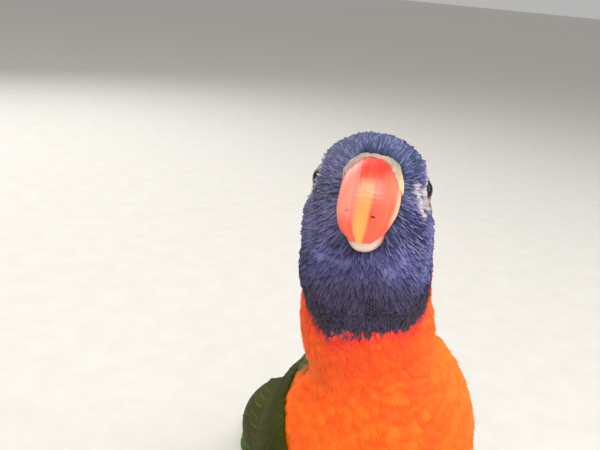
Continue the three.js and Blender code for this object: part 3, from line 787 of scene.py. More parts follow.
lancePlan = featherPlan([0.55, 0.95, 1.0, 0.8, 0.12], 3, 0)
softPlan = featherPlan([0.5, 0.9, 1.0, 0.95, 0.8], 6, 1.0)
broadPlan = featherPlan([0.45, 0.85, 1.0, 1.0, 0.85], 7, 0.8)


# All feathers of one kind; bake holds each one's place on the bake sheet
def buildFeathers(name, roots, direction, length, width, height, arch, plan, zones, bake, material):
    plan, faces = plan
    stations = int(math.ceil(plan[:, 0].max())) + 1
    line, sides, normals = layFeathers(roots, direction, length, height, stations)
    station = plan[:, 0]
    low = np.clip(np.floor(station).astype(int), 0, stations - 2)
    part = (station - low)[None, :, None]
    centre = mix(line[:, low], line[:, low + 1], part)
    side = mix(sides[:, low], sides[:, low + 1], part)
    normal = mix(normals[:, low], normals[:, low + 1], part)
    w = plan[None, :, 1]
    share = (station / (stations - 1))[None]
    half = (width / 2)[:, None]
    rise = -arch * half * w ** 2 + plan[None, :, 2]
    points = centre + side * (w * half)[..., None] + normal * rise[..., None]
    count, size = points.shape[:2]
    allFaces = (faces[None] + (np.arange(count) * size)[:, None, None]).reshape(-1, 4)
    own = luck.random(count)
    vane = np.stack(np.broadcast_arrays(share, w, own[:, None]), -1)
    attributes = {key: np.repeat(values, size, axis=0) for key, values in zones.items()}
    attributes["vane"] = vane.reshape(-1, 3)
    patch = np.stack([w[0] * bakePatch[0], (share[0] - 0.5) * bakePatch[1]], -1)
    uv = (bake[:, None] + patch[None]).reshape(-1, 2)
    perPiece = int(plumageFacts["facesInAPiece"] / len(faces))
    for n, start in enumerate(range(0, count, perPiece)):
        end = min(count, start + perPiece)
        mine = slice(start * size, end * size)
        myFaces = allFaces[start * len(faces):end * len(faces)] - start * size
        piece = makeObject(f"{name}_{n + 1}", points[start:end], myFaces, material,
                           {key: values[mine] for key, values in attributes.items()}, uv[mine])


# Even places on the body, one feather to spacing x spacing mm
def scatter(spacing, runRange):
    rows, columns = 400, 96
    run = mix(runRange[0], runRange[1], (np.arange(rows) + 0.5) / rows)
    turnShare = (np.arange(columns) + 0.5) / columns
    grid = np.meshgrid(run, turnShare, indexing="ij")
    area = body.read(body.runSize, *grid) * body.read(body.turnSize, *grid)
    weight = area * (runRange[1] - runRange[0]) / rows / columns / spacing ** 2
    rowSum = weight.sum(1)
    count = int(rowSum.sum())
    n = np.arange(count)
    a, b = (n + 0.5) / count, (n * 0.6180339887498949) % 1  # the golden ratio keeps neighbours apart
    reached = np.concatenate([[0], np.cumsum(rowSum)]) / rowSum.sum()
    runs = np.interp(a, reached, np.linspace(*runRange, rows + 1))
    rowIndex = np.clip(((runs - runRange[0]) / (runRange[1] - runRange[0]) * rows).astype(int), 0, rows - 1)
    share = np.cumsum(weight, 1) / rowSum[:, None]
    edges = np.linspace(0, 1, columns + 1)
    turns = np.zeros(count)
    for r in np.unique(rowIndex):
        here = rowIndex == r
        turns[here] = np.interp(b[here], np.concatenate([[0], share[r]]), edges)
    jitter = luck.normal(0, 0.25, (2, count)) * spacing
    runs = np.clip(runs + jitter[0] / np.maximum(body.read(body.runSize, runs, turns), 30), 0.001, 0.999)
    turns = (turns + jitter[1] / np.maximum(body.read(body.turnSize, runs, turns), 8)) % 1
    return runs, turns


def downBody(runs, turns, swirl):  # the way feathers lie, a little unlike
    ahead, _ = body.at(np.clip(runs + 0.004, 0, 1), turns)
    behind, _ = body.at(np.clip(runs - 0.004, 0, 1), turns)
    way = unit(behind - ahead)
    side = unit(np.cross(way, body.at(runs, turns)[1]))
    return unit(way + side * luck.normal(0, swirl, len(runs))[:, None])


# Where the bill and cere leave the head: up, to the side and forward of the eyes' midpoint
billGuard = {"top": 5.2, "bottom": -14.6, "half": 5.4, "front": 3.0}


# Shortens feathers that would cross an eye and drops those under the eye, lids or cere
def clearOfFace(roots, direction, length):
    keep = np.ones(len(roots), bool)
    guard = eyeFacts["clearRadius"]
    for side, word in sides:
        middle = eyeCentres[side] + eyeAxisOf(side) * eyeFacts["clearOut"]
        keep &= np.linalg.norm(roots - middle, axis=-1) > guard
        for _ in range(3):
            tip = roots + direction * length[:, None]
            hits = np.linalg.norm(tip - middle, axis=-1) < guard + 0.1
            hits |= np.linalg.norm((roots + tip) / 2 - middle, axis=-1) < guard + 0.1
            length = np.where(hits, length * 0.62, length)
        tip = roots + direction * length[:, None]
        keep &= np.linalg.norm(tip - middle, axis=-1) > guard - 0.2
    head = headPlace(roots)
    middle, tall = (billGuard["top"] + billGuard["bottom"]) / 2, (billGuard["top"] - billGuard["bottom"]) / 2
    inBill = np.abs(head[:, 1] / billGuard["half"]) ** 2.5 + np.abs((head[:, 2] - middle) / tall) ** 2.5 < 1
    keep &= ~(inBill & (head[:, 0] > billGuard["front"]))
    keep &= baredSkin(roots) < luck.uniform(0.2, 1.3, len(roots))  # a little stubble stays
    return keep, length


# Covers the part of the body between two runs
def coat(name, facts, plan, material):
    runs, turns = scatter(facts["spacing"], facts["run"])
    chance = luck.random(len(runs))
    roots, _ = body.at(runs, turns)
    direction = downBody(runs, turns, facts["swirl"])
    grow = np.ones(len(runs))
    for before, after, start, end in facts["sizes"]:
        grow = grow * mix(before, after, smooth(start, end, runs))
    length = facts["length"] * grow * luck.uniform(0.8, 1.15, len(runs))
    bare = plumageFacts["bare"]
    length = length * mix(1, bare["length"], baredSkin(roots))
    keep, length = clearOfFace(roots, direction, length)
    runs, turns, chance, roots, direction, length, grow = (
        v[keep] for v in (runs, turns, chance, roots, direction, length, grow))
    bared = baredSkin(roots)
    width = facts["width"] * grow * luck.uniform(0.8, 1.2, len(runs)) * mix(1, bare["width"], bared)
    low, high = facts["rise"]
    rise = np.stack([low + 0 * runs, high + luck.normal(0, 0.16, len(runs))])
    rise[1] = mix(rise[1], bare["tipRise"], np.maximum(smooth(6.6, 4.8, eyeDistance(roots)), bared))
    seen = layFeathers(roots, direction, 0.75 * length, rise, 3)[0][:, -1]  # the part that others leave bare
    zones = thighZones(zonesOf(*runAndTurn(seen), seen, chance), thighShare(seen))
    bake = np.stack([turns, runs * 0.8], -1)
    print(f"  {name}: {len(runs)} feathers")
    buildFeathers(name, roots, direction, length, width, rise, facts["arch"], plan, zones, bake,
                  material)


def thighFeathers(facts, material):
    for side, word in sides:
        n = np.arange(facts["count"])
        share = mix(0.02, 0.93, ((n + 0.5) / facts["count"]) ** 0.8)
        angle = n * facts["turnStep"]
        a, b = hip * [side, 1, 1], heel * [side, 1, 1]
        axis = unit(b - a)
        across = unit(np.cross(axis, [0, 0, 1.0]))
        ring = across * np.cos(angle)[:, None] + np.cross(axis, across) * np.sin(angle)[:, None]
        roots = a + (b - a) * share[:, None] + ring * along(legFacts["thighRadii"], share)[:, None]
        keep = bodyDistance(roots) > -1.2  # those inside the body are left out
        roots, share, angle = roots[keep], share[keep], angle[keep]
        count = len(roots)
        direction = unit(np.broadcast_to(axis, roots.shape) + luck.normal(0, 0.1, roots.shape))
        zones = {key: np.zeros((count, 3)) for key in ("warm", "cool", "extra", "brow")}
        zones["extra"][:, 0] = np.clip(luck.normal(0.25, 0.2, count), 0, 0.8)
        bake = np.stack([0.25 + 0.25 * side + 0.1 * np.cos(angle), 0.9 + 0.05 * share], -1)
        low, high = facts["rise"]
        rise = np.stack([np.full(count, low), luck.normal(high, 0.15, count)])
        length = mix(*facts["length"], share) * luck.uniform(0.85, 1.1, count)
        print(f"  {word}_thigh_feathers: {count} feathers")
        buildFeathers(f"{word}_thigh_feathers", roots, direction, length, mix(*facts["width"], share), rise,
                      facts["arch"], softPlan, zones, bake, material)


print("body plumage")
headFinish = plumageMaterial("head feathers")
softFinish = plumageMaterial("soft body feathers")
coat("body_feathers", plumageFacts["body"], broadPlan, softFinish)
coat("neck_feathers", plumageFacts["neck"], softPlan, softFinish)
coat("head_feathers", plumageFacts["head"], lancePlan, headFinish)
thighFeathers(plumageFacts["thigh"], softFinish)


# Wings

wingFacts = {  # 1 is the left wing, -1 the right; lists run evenly from the wrist to the tip
    "start": {1: (0, -21, 92), -1: (0, -13, 88)},
    "end": (0, 102, 16),
    "lift": 0.8, "melt": 2.0,  # over the body, and how softly the wing leaves it
    "reachX": {  # half sizes of the wing's section beyond the body, to the side and up
        1: [6, 10, 13, 15.5, 16.5, 15.5, 13.5, 11, 8.5, 6.3, 4.6],
        -1: [20.5, 21, 20.5, 20.5, 20, 18.7, 15.6, 11.4, 8.4, 6, 4.6],  # the right wing is held a little away
    },
    "reachZ": [6, 10, 13, 16, 17, 16.5, 15, 13, 10.5, 8, 5.5],
    "low": [-20, -41, -50, -51, -47, -40, -33, -26, -18, -11, -5],  # lower and upper edge, degrees round
    "high": [50, 49, 51, 56, 62, 70, 76, 74, 66, 52, 26],
    "corner": {1: 0.075, -1: 0.03},  # how far back the front edge bends at its top and bottom
    "margin": 0.15,  # the sheet reaches this much past both edges
    "coreDepth": (-0.7, 0.3), "coreEnd": 0.7,  # the green sheet under the feathers
}


def cornerOf(side, across):
    return wingFacts["corner"][side] * np.abs(2 * np.clip(across, 0, 1) - 1) ** 2.5


def wingGrid(side, rows, columns):
    start, end = np.array(wingFacts["start"][side], float), np.array(wingFacts["end"], float)
    axis = unit(end - start)
    over = np.array([0, -axis[2], axis[1]])
    beyond = np.linspace(-wingFacts["margin"], 1 + wingFacts["margin"], columns)
    share, across = np.meshgrid(np.linspace(0, 1, rows), beyond, indexing="ij")
    angle = np.radians(mix(along(wingFacts["low"], share), along(wingFacts["high"], share), across))
    origin = start + (end - start) * share[..., None]
    ray = np.array([side, 0, 0]) * np.cos(angle)[..., None] + over * np.sin(angle)[..., None]
    overBody = np.where(bodyDistance(origin) > wingFacts["lift"], 0, reach(origin, ray, wingFacts["lift"]))
    wide, tall = along(wingFacts["reachX"][side], share), along(wingFacts["reachZ"], share)
    free = 1 / np.hypot(np.cos(angle) / wide, np.sin(angle) / tall)
    radius = (overBody + free + np.hypot(overBody - free, wingFacts["melt"])) / 2
    sheet = Sheet(origin + ray * radius[..., None], False)
    if (sheet.normals * ray).sum() < 0:
        sheet.normals = -sheet.normals
    sheet.length = float(np.linalg.norm(end - start))
    return sheet


wingSheets = {side: wingGrid(side, 120, 90) for side, word in sides}
sheetWidth = 1 + 2 * wingFacts["margin"]


def onSheet(across):
    return (across + wingFacts["margin"]) / sheetWidth


def onWing(side, share, across, out):
    return wingSheets[side].at(share, onSheet(across), out)[0]


def wingSizes(side, share, across):  # mm for a whole length and a whole width of the wing there
    sheet = wingSheets[side]
    return np.full(share.shape, sheet.length), sheet.read(sheet.turnSize, share, onSheet(across)) / sheetWidth


# Rows of long feathers. Root and tip are along the wing, across and tipAcross over it, each from the lowest
# feather to the highest. Half is the half width, rise the height at root and tip, dark the inner web's share.
wingTiers = [
    {  # primaries
        "count": 9, "root": (.46, .44), "tip": (1.0, .72), "across": (.10, .62), "tipAcross": (.42, .80),
        "half": 4.9, "rise": (0.7, 1.2), "dark": 0.75, "tipDark": 0.4,
        "taper": [.5, .85, 1, 1, 1, .95, .85, .68, .45, .1],
    },
    {  # secondaries
        "count": 10, "root": (.24, .30), "tip": (.55, .70), "across": (.08, .94), "tipAcross": (.10, .90),
        "half": 4.8, "rise": (0.8, 1.6), "dark": 0.5, "tipDark": 0.1,
        "taper": [.6, .9, 1, 1, 1, 1, .98, .9, .7, .2],
    },
    {  # greater coverts
        "count": 12, "root": (.12, .17), "tip": (.34, .45), "across": (.07, .94), "tipAcross": (.07, .94),
        "half": 4.2, "rise": (0.9, 1.9), "dark": 0.4, "tipDark": 0.1,
        "taper": [.6, .9, 1, 1, 1, 1, .96, .85, .6, .15],
    },
    {  # median coverts
        "count": 14, "root": (.04, .08), "tip": (.21, .28), "across": (.06, .95), "tipAcross": (.06, .95),
        "half": 3.8, "rise": (0.4, 2.0), "dark": 0.35, "tipDark": 0.1,
        "taper": [.6, .9, 1, 1, 1, .98, .9, .75, .5, .12],
    },
]


longVane = {"tilt": 0.8, "arch": 0.22, "columns": 9, "rows": 16}  # mm, then the grid of each long feather


# One feather as a grid on the wing, with its shaft a fine ridge
def wingVane(side, root, tip, half, taper, rise, shape):
    s = np.linspace(0, 1, shape["rows"])[:, None]
    w = np.linspace(-1, 1, shape["columns"])[None]
    share = mix(root[0], tip[0], s) + 0 * w
    middle = mix(root[1], tip[1], s) + 0 * w
    width = half * along(taper, s) * w
    lag = -0.35 * half * w ** 2 * smooth(0.75, 1, s)  # the tip is rounded off
    shaft = 0.16 * np.exp(-(w / 0.07) ** 2)
    lift = mix(*rise, s) - w * shape["tilt"] / 2 - shape["arch"] * w ** 2 + shaft
    long, wide = wingSizes(side, share, middle)
    return onWing(side, share + lag / long, middle + width / wide, lift), s, w


vaneTones = {  # outer web, inner web, pale rim and tip
    # Painted shade: these greens are darkened to the dark olive of the wing in shade; the living wing is a
    # brighter green
    "flight feathers in painted shade": ("3a3e07", "1c1f06", "76792a", "22260b"),
    "tail feathers": ("3b5a1c", "5f681c", "72803a", "55641f"),
    "tail coverts": ("415f20", "566a20", "84923f", "aeac34"),
}


# A long feather: dark inner web, coloured outer web with a pale rim that is partly its own pale edge and
# partly a painted highlight, fine barbs
def vaneMaterial(name):
    outer, inner, rimAndHighlightTone, tipTone = (tone(code) for code in vaneTones[name])
    material, s, surface = makeMaterial(name, 0.7, Specular_IOR_Level=0.08)
    alongVane, across = s.split(s.attribute("vane").outputs["Vector"])[:2]
    tint = s.split(s.attribute("tint").outputs["Vector"])  # inner web's start, its share, the tip's share
    web = s.steps(across, tint[0], s.math("ADD", tint[0], 0.5))
    colour = s.blend(s.math("MULTIPLY", web, tint[1]), outer, inner)
    # Painted highlight along the lower edge, over the feather's own paler edge
    rim = s.math("MULTIPLY", s.steps(across, -0.86, -0.97), s.steps(alongVane, 0.2, 0.4))
    colour = s.blend(s.math("MULTIPLY", rim, 0.38), colour, rimAndHighlightTone)
    colour = s.blend(s.math("MULTIPLY", s.steps(alongVane, 0.55, 1.0), tint[2]), colour, tipTone)
    done = useGroup(s, barbs, **{
        "Color": colour, "Shaft": inner, "Streak": 0.25, "Root Shade": 0.15, "Change": 0.35, "Barbs": 0.9,
    })
    s.put(surface["Base Color"], done["Color"])
    s.put(surface["Normal"], bump(s, done["Height"], 0.45, 0.00015))
    return material


wingFinish = vaneMaterial("flight feathers in painted shade")
tailFinish = vaneMaterial("tail feathers")


# Many feathers of one grid size as one piece, each with its tint and its place on the bake sheet
def joinGrids(name, grids, material, tints, bakes, replaces=()):
    rows, columns = grids[0][0].shape[:2]
    one = gridFaces(rows, columns)
    points = np.concatenate([g[0].reshape(-1, 3) for g in grids])
    faces = np.concatenate([one + i * rows * columns for i in range(len(grids))])
    vane, tint, uv = [], [], []
    for (grid, s, w), shade, place in zip(grids, tints, bakes):
        own = luck.random()
        s, w = np.broadcast_arrays(s, w)
        vane.append(np.stack([s, w, np.full(s.shape, own)], -1).reshape(-1, 3))
        tint.append(np.broadcast_to(shade, (rows * columns, 3)))
        patch = np.stack([w * bakePatch[0], (s - 0.5) * bakePatch[1]], -1)
        uv.append((np.asarray(place) + patch).reshape(-1, 2))
    attributes = {"vane": np.concatenate(vane), "tint": np.concatenate(tint)}
    piece = makeObject(name, points, faces, material, attributes, np.concatenate(uv))
    if replaces:
        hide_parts(*replaces)
    return piece


def makeWing(side, word):
    grids, tints, bakes = [], [], []
    for row, tier in enumerate(wingTiers):
        for i in range(tier["count"]):
            k = i / (tier["count"] - 1)
            jitter = luck.normal(0, 0.004)
            across, tipAcross = mix(*tier["across"], k), mix(*tier["tipAcross"], k)
            root = mix(*tier["root"], k) + cornerOf(side, across)
            tip = mix(*tier["tip"], k) + jitter - 0.006 * math.sin(17 * k)
            grids.append(wingVane(side, (root, across), (tip, tipAcross), tier["half"], tier["taper"],
                                  tier["rise"], longVane))
            tints.append((0.15, tier["dark"] + luck.normal(0, 0.05), tier["tipDark"]))
            bakes.append((0.25 + 0.2 * side + 0.012 * i, 0.86 + 0.006 * row))
    piece = joinGrids(f"{word}_wing_feathers", grids, wingFinish, tints, bakes, (f"{word}_wing",))
    if side < 0:
        piece.data.flip_normals()
    end = wingFacts["coreEnd"]
    share, across = np.meshgrid(np.linspace(0, end, 30), np.linspace(0.03, 0.97, 24), indexing="ij")
    depth = mix(*wingFacts["coreDepth"], smooth(0.1, 0.3, share))
    core = onWing(side, share + cornerOf(side, across) * (1 - share / end), across, depth)
    joinGrids(f"{word}_wing_bed", [(core, share / end, across * 2 - 1)], wingFinish,
              [(0.3, 0.6, 0.2)], [(0.25 + 0.2 * side, 0.85)])


def brim(across):  # 1 at the wing's upper and lower edges, which press against the body
    return max(smooth(0.75, 1.0, across), smooth(0.2, 0.0, across))


smallCoverts = {
    "ranks": 17, "run": (-0.03, 0.17), "across": (-0.04, 1.04),
    "step": 2.0,  # mm from one to the next in a rank
    "length": 0.065, "half": 2.2, "taper": [.5, .9, 1, 1, .8, .3],
    "tilt": 0.3, "arch": 0.25, "columns": 5, "rows": 6,
}


# Small scale-like feathers from the wrist to the first long coverts
def lesserCoverts(side, word):
    facts = smallCoverts
    share, across = [], []
    for r in range(facts["ranks"]):
        u = mix(*facts["run"], r / (facts["ranks"] - 1))
        span = float(wingSizes(side, np.array([u]), np.array([0.5]))[1][0])
        count = max(3, int(span / facts["step"]))
        v = (np.arange(count) + (0.25 if r % 2 else 0.75)) / count
        share.append(np.full(count, u) + luck.normal(0, 0.003, count))
        across.append(mix(*facts["across"], v) + luck.normal(0, 0.006, count))
    grids, tints, bakes = [], [], []
    for u, v in zip(np.concatenate(share), np.concatenate(across)):
        own = luck.uniform(0.85, 1.2)
        rootRise = mix(-0.6, 0.9, smooth(-0.03, 0.1, u)) - 0.3 * brim(v)
        tipRise = mix(0.4, 2.05, smooth(-0.03, 0.14, u)) - 0.5 * brim(v)
        u = u + cornerOf(side, v)
        grids.append(wingVane(side, (u, v), (u + facts["length"] * own, v), facts["half"] * own,
                              facts["taper"], (rootRise, tipRise), facts))
        tints.append((0.3, 0.25, 0.0))
        bakes.append((0.25 + 0.2 * side + 0.05 * v, 0.9 + 0.05 * u))
    piece = joinGrids(f"{word}_small_coverts", grids, wingFinish, tints, bakes)
    if side < 0:
        piece.data.flip_normals()
    print(f"  {word}_small_coverts: {len(grids)} feathers")


print("wings")
for side, word in sides:
    makeWing(side, word)
    lesserCoverts(side, word)


# Tail

tailFacts = {  # mm
    "rootY": 40, "rootZ": 49, "tipZ": -0.2,
    "length": 122, "reachY": 110,  # along the tail, and of that to the back
    "bend": 2, "sway": 17,  # how soon it comes down to the floor, and how far to the side its tip is
    "lengths": [122, 119, 112, 102, 90, 77],  # of its feathers, the middle ones first
    "middles": [0.8, 3.6, 5.9, 7.8, 9.4, 10.6], "half": 4.1, "start": 6,
    "step": 0.8,  # each feather lies this much under the one before
    "taper": [.5, .8, .95, 1, 1, .95, .82, .6, .1],
    "floorGap": 0.05,
    "coverts": {
        "rows": 5, "inARow": 7, "length": 22, "spread": 8.2, "half": 3.6,
        "taper": [.5, .85, 1, 1, .9, .6, .2],
        "tips": {1: (14, 36), -1: (14, 42)},  # 1 is above the tail, -1 below it
        "stand": {1: (6.8, 1.4), -1: (-10.2, -4.6)}, "tipDark": {1: 0.1, -1: 0.9},
    },
    "bed": {"from": (-8.0, 8.0, 26.0), "radii": [10.4, 7.4, 2.2], "depth": -1.5, "flat": 0.7},
}


def onTail(distance, across, lift):
    share = distance / tailFacts["length"]
    drop = (1 - np.minimum(share, 1)) ** tailFacts["bend"]
    z = mix(tailFacts["tipZ"], tailFacts["rootZ"], drop) - 0.012 * across ** 2 * drop + lift
    across = across + tailFacts["sway"] * np.maximum(share, 0) ** 1.5
    y = tailFacts["rootY"] + share * tailFacts["reachY"]
    return np.stack([across, y, np.maximum(z, tailFacts["floorGap"])], -1)


# One feather as a grid along the tail; lift gives its height from root, 0, to tip, 1
def tailVane(root, tip, middle, half, taper, lift, columns):
    s = np.linspace(0, 1, 20)[:, None]
    w = np.linspace(-1, 1, columns)[None]
    distance = mix(root, tip, s) - 0.4 * half * w ** 2 * smooth(0.8, 1, s)
    closing = 1 - 0.35 * smooth(0.55, 1, distance / tailFacts["length"])
    across = middle * mix(0.7, 1, np.minimum(1, 2 * s)) * closing + half * along(taper, s) * w
    height = lift(s) - 0.25 * w ** 2 * (1 - 0.8 * s) + 0.14 * np.exp(-(w / 0.07) ** 2)
    return onTail(distance, across, height), s, w


def makeTailFeathers():
    start = tailFacts["start"]
    grids, tints, bakes = [], [], []
    for side, word in sides:
        for k, length in enumerate(tailFacts["lengths"]):

            def lift(s):
                apart = np.minimum(1, 2.4 * (1 - mix(start, length, s) / tailFacts["length"]))
                return 0.55 - tailFacts["step"] * k * apart + 0.1 * (side > 0)

            grid, s, w = tailVane(start, length, side * tailFacts["middles"][k], tailFacts["half"],
                                  tailFacts["taper"], lift, 9)
            grids.append((grid, s, w * -side))
            tints.append((0.25, 0.7 if k else 0.2, 0.35))
            bakes.append((0.4 + 0.02 * k * side, 0.96))
    joinGrids("tail_feathers", grids, tailFinish, tints, bakes, ("tail",))


# Shorter feathers over and under the tail's root, and the round form that they lie on
def makeTailCoverts():
    facts = tailFacts["coverts"]
    finish = vaneMaterial("tail coverts")
    grids, tints, bakes = [], [], []
    for face in (1, -1):
        for row in range(facts["rows"]):
            count = facts["inARow"] - (row % 2)
            for i in range(count):
                sideways = (2 * i / (count - 1) - 1) * mix(1.0, 0.75, row / facts["rows"])
                tip = mix(*facts["tips"][face], row / (facts["rows"] - 1)) - 6 * abs(sideways)

                def lift(s):
                    tuck = 0.25 * (facts["rows"] - row) - 0.9 * abs(sideways)
                    return mix(*facts["stand"][face], s) + face * tuck

                grids.append(tailVane(tip - facts["length"], tip, facts["spread"] * sideways, facts["half"],
                                      facts["taper"], lift, 7))
                tints.append((0.6, 0.4, facts["tipDark"][face]))
                bakes.append((0.3 + 0.3 * (face > 0) + 0.02 * i, 0.97 + 0.004 * row))
    joinGrids("tail_coverts", grids, finish, tints, bakes)
    bed = tailFacts["bed"]
    curve = [onTail(np.array(d), np.array(0.0), np.array(bed["depth"])) for d in bed["from"]]
    rings = tube(curve, bed["radii"], 14, 24, bed["flat"])
    rings[..., 2] = np.maximum(rings[..., 2], 0.1)
    core = shellObject("tail_bed", rings, finish, {
        "vane": np.broadcast_to([0.5, 0.0, 0.5], rings.shape),
        "tint": np.broadcast_to([0.6, 0.3, 0.3], rings.shape),
    })


print("tail")
makeTailFeathers()
makeTailCoverts()


# Bill and cere

billFacts = {  # forward and up of the eyes' midpoint, and half widths, all from root to tip
    "culmen": [  # the ridge
        (7, 3.6), (11.5, 3.9), (16, 2.8), (19.4, -0.4),
        (20.8, -4.6), (20.4, -9), (18.4, -12.8), (16.6, -15.2),
    ],
    "edge": [
        (3, -5.5), (7, -6.2), (10, -6.6), (12.4, -7.4),
        (14.2, -8.8), (15.2, -10.6), (15.8, -12.8), (16, -15),
    ],
    "half": [5, 5.3, 5.8, 6.2, 6.3, 6, 4.9, 2.2],
    "tipNarrow": 0.93,
    "tooth": (0.5, 0.62, 0.05),  # in the cutting edge: how deep, where along it and how long
    "lowerTop": [(3, -6.6), (7, -7.2), (10, -7.8), (12, -9), (13.4, -10.8), (14.4, -13.2)],
    "lowerKeel": [(1, -12.4), (5, -14.4), (8.5, -15.8), (11.4, -16.5), (13.4, -16.2), (14.8, -15)],
    "lowerHalf": [4.4, 4.4, 4.1, 3.3, 2.3, 1.4],
    "lean": -0.7,  # the horn's tip bends a little to the right, mm
    "spots": [  # marks on the horn: along, side, their half sizes, strength, colour
        (0.75, 0.29, 0.009, 0.09, 0.95, "3a1412"), (0.72, -0.64, 0.012, 0.06, 0.5, "9a4438"),
    ],
}
billTones = {
    "root": "e8301f", "middle": "f44e36", "left": "f65f44", "skyReflectionPink": "ec8676", "line": "ee5a6a",
    "stripe": "f88a4c", "stripeTip": "fbb04a", "tip": "dd4a30", "edge": "f6c49c", "mottle": "ffb08c",
    "lower": "e0603c", "lowerTip": "f2dcc4", "mouth": "8c2a1c", "lowerMottle": "d9a088",
}
cereFacts = {
    "end": 0.285,  # how far along the bill the bare skin reaches
    "lobes": [  # degrees round from the ridge, width, how much farther it reaches there
        (76, 26, 0.22), (42, 22, 0.09), (-64, 34, 0.13),
    ],
    "swell": (1.13, 1.035),  # over the horn, at its root and at its edge
    "core": (9.5, 0, -1.5),  # the middle that it swells away from
    "nostril": (13.4, 2.8, 3.6), "nostrilSize": 0.8, "nostrilDepth": 1.1, "nostrilRim": 0.22,
    "right": "a58a80", "ridge": "c9978a", "left": "a39782", "lobe": "f3d2a6",
    "speck": "6f5c58", "patch": "f0dfc8",
}


# Rings round a bill piece, closed at both ends, with each point's place on it: along, side, height.
# The end may differ round the rings, and swell may differ over all points.
def billRings(upper, lower, half, start, end, rows, turns, swell=1.0, closing=8):
    row = np.arange(rows + 2 * closing)[:, None]
    share = np.clip((row - closing) / (rows - 1), 0, 1)
    t = start + (end - start) * share + np.zeros((1, turns))
    depth = np.minimum(row, rows + 2 * closing - 1 - row) / closing
    shrink = np.sqrt(np.clip(1 - (1 - np.clip(depth, 0.02, 1)) ** 2, 0, 1))
    angle = np.arange(turns) / turns * 2 * math.pi
    c, s = np.cos(angle)[None], np.sin(angle)[None]
    height = np.sign(c) * np.abs(c) ** 0.8 * shrink * swell
    side = np.sign(s) * np.abs(s) ** 0.9 * shrink * swell
    top, bottom = along(upper, t), along(lower, t)
    flat = (top + bottom) / 2 + height[..., None] * (top - bottom) / 2
    return flat[..., 0], side * along(half, t), flat[..., 1], np.stack([t, side, height], -1)


def lowerBillMaterial():
    material, s, surface = makeMaterial("lower bill", 0.35, Coat_Weight=0.3, Coat_Roughness=0.25)
    coords = s.attribute("place").outputs["Vector"]
    t, _, height = s.split(coords)[:3]
    grain = s.noise(coords, 9.0, 4.0, 0.6)
    # Paler towards the tip: partly its own pale horn, partly a painted reflection
    colour = s.blend(s.steps(t, 0.3, 0.85), tone(billTones["lower"]), tone(billTones["lowerTip"]))
    # Painted shade: the top of the lower bill, under the upper bill, darkened
    colour = s.blend(s.math("MULTIPLY", s.steps(height, 0.1, 0.8), 0.8), colour, tone(billTones["mouth"]))
    mottled = s.math("MULTIPLY", s.steps(grain, 0.45, 0.7), 0.25)
    s.put(surface["Base Color"], s.blend(mottled, colour, tone(billTones["lowerMottle"])))
    s.put(surface["Normal"], bump(s, grain, 0.2, 0.0002))
    return material


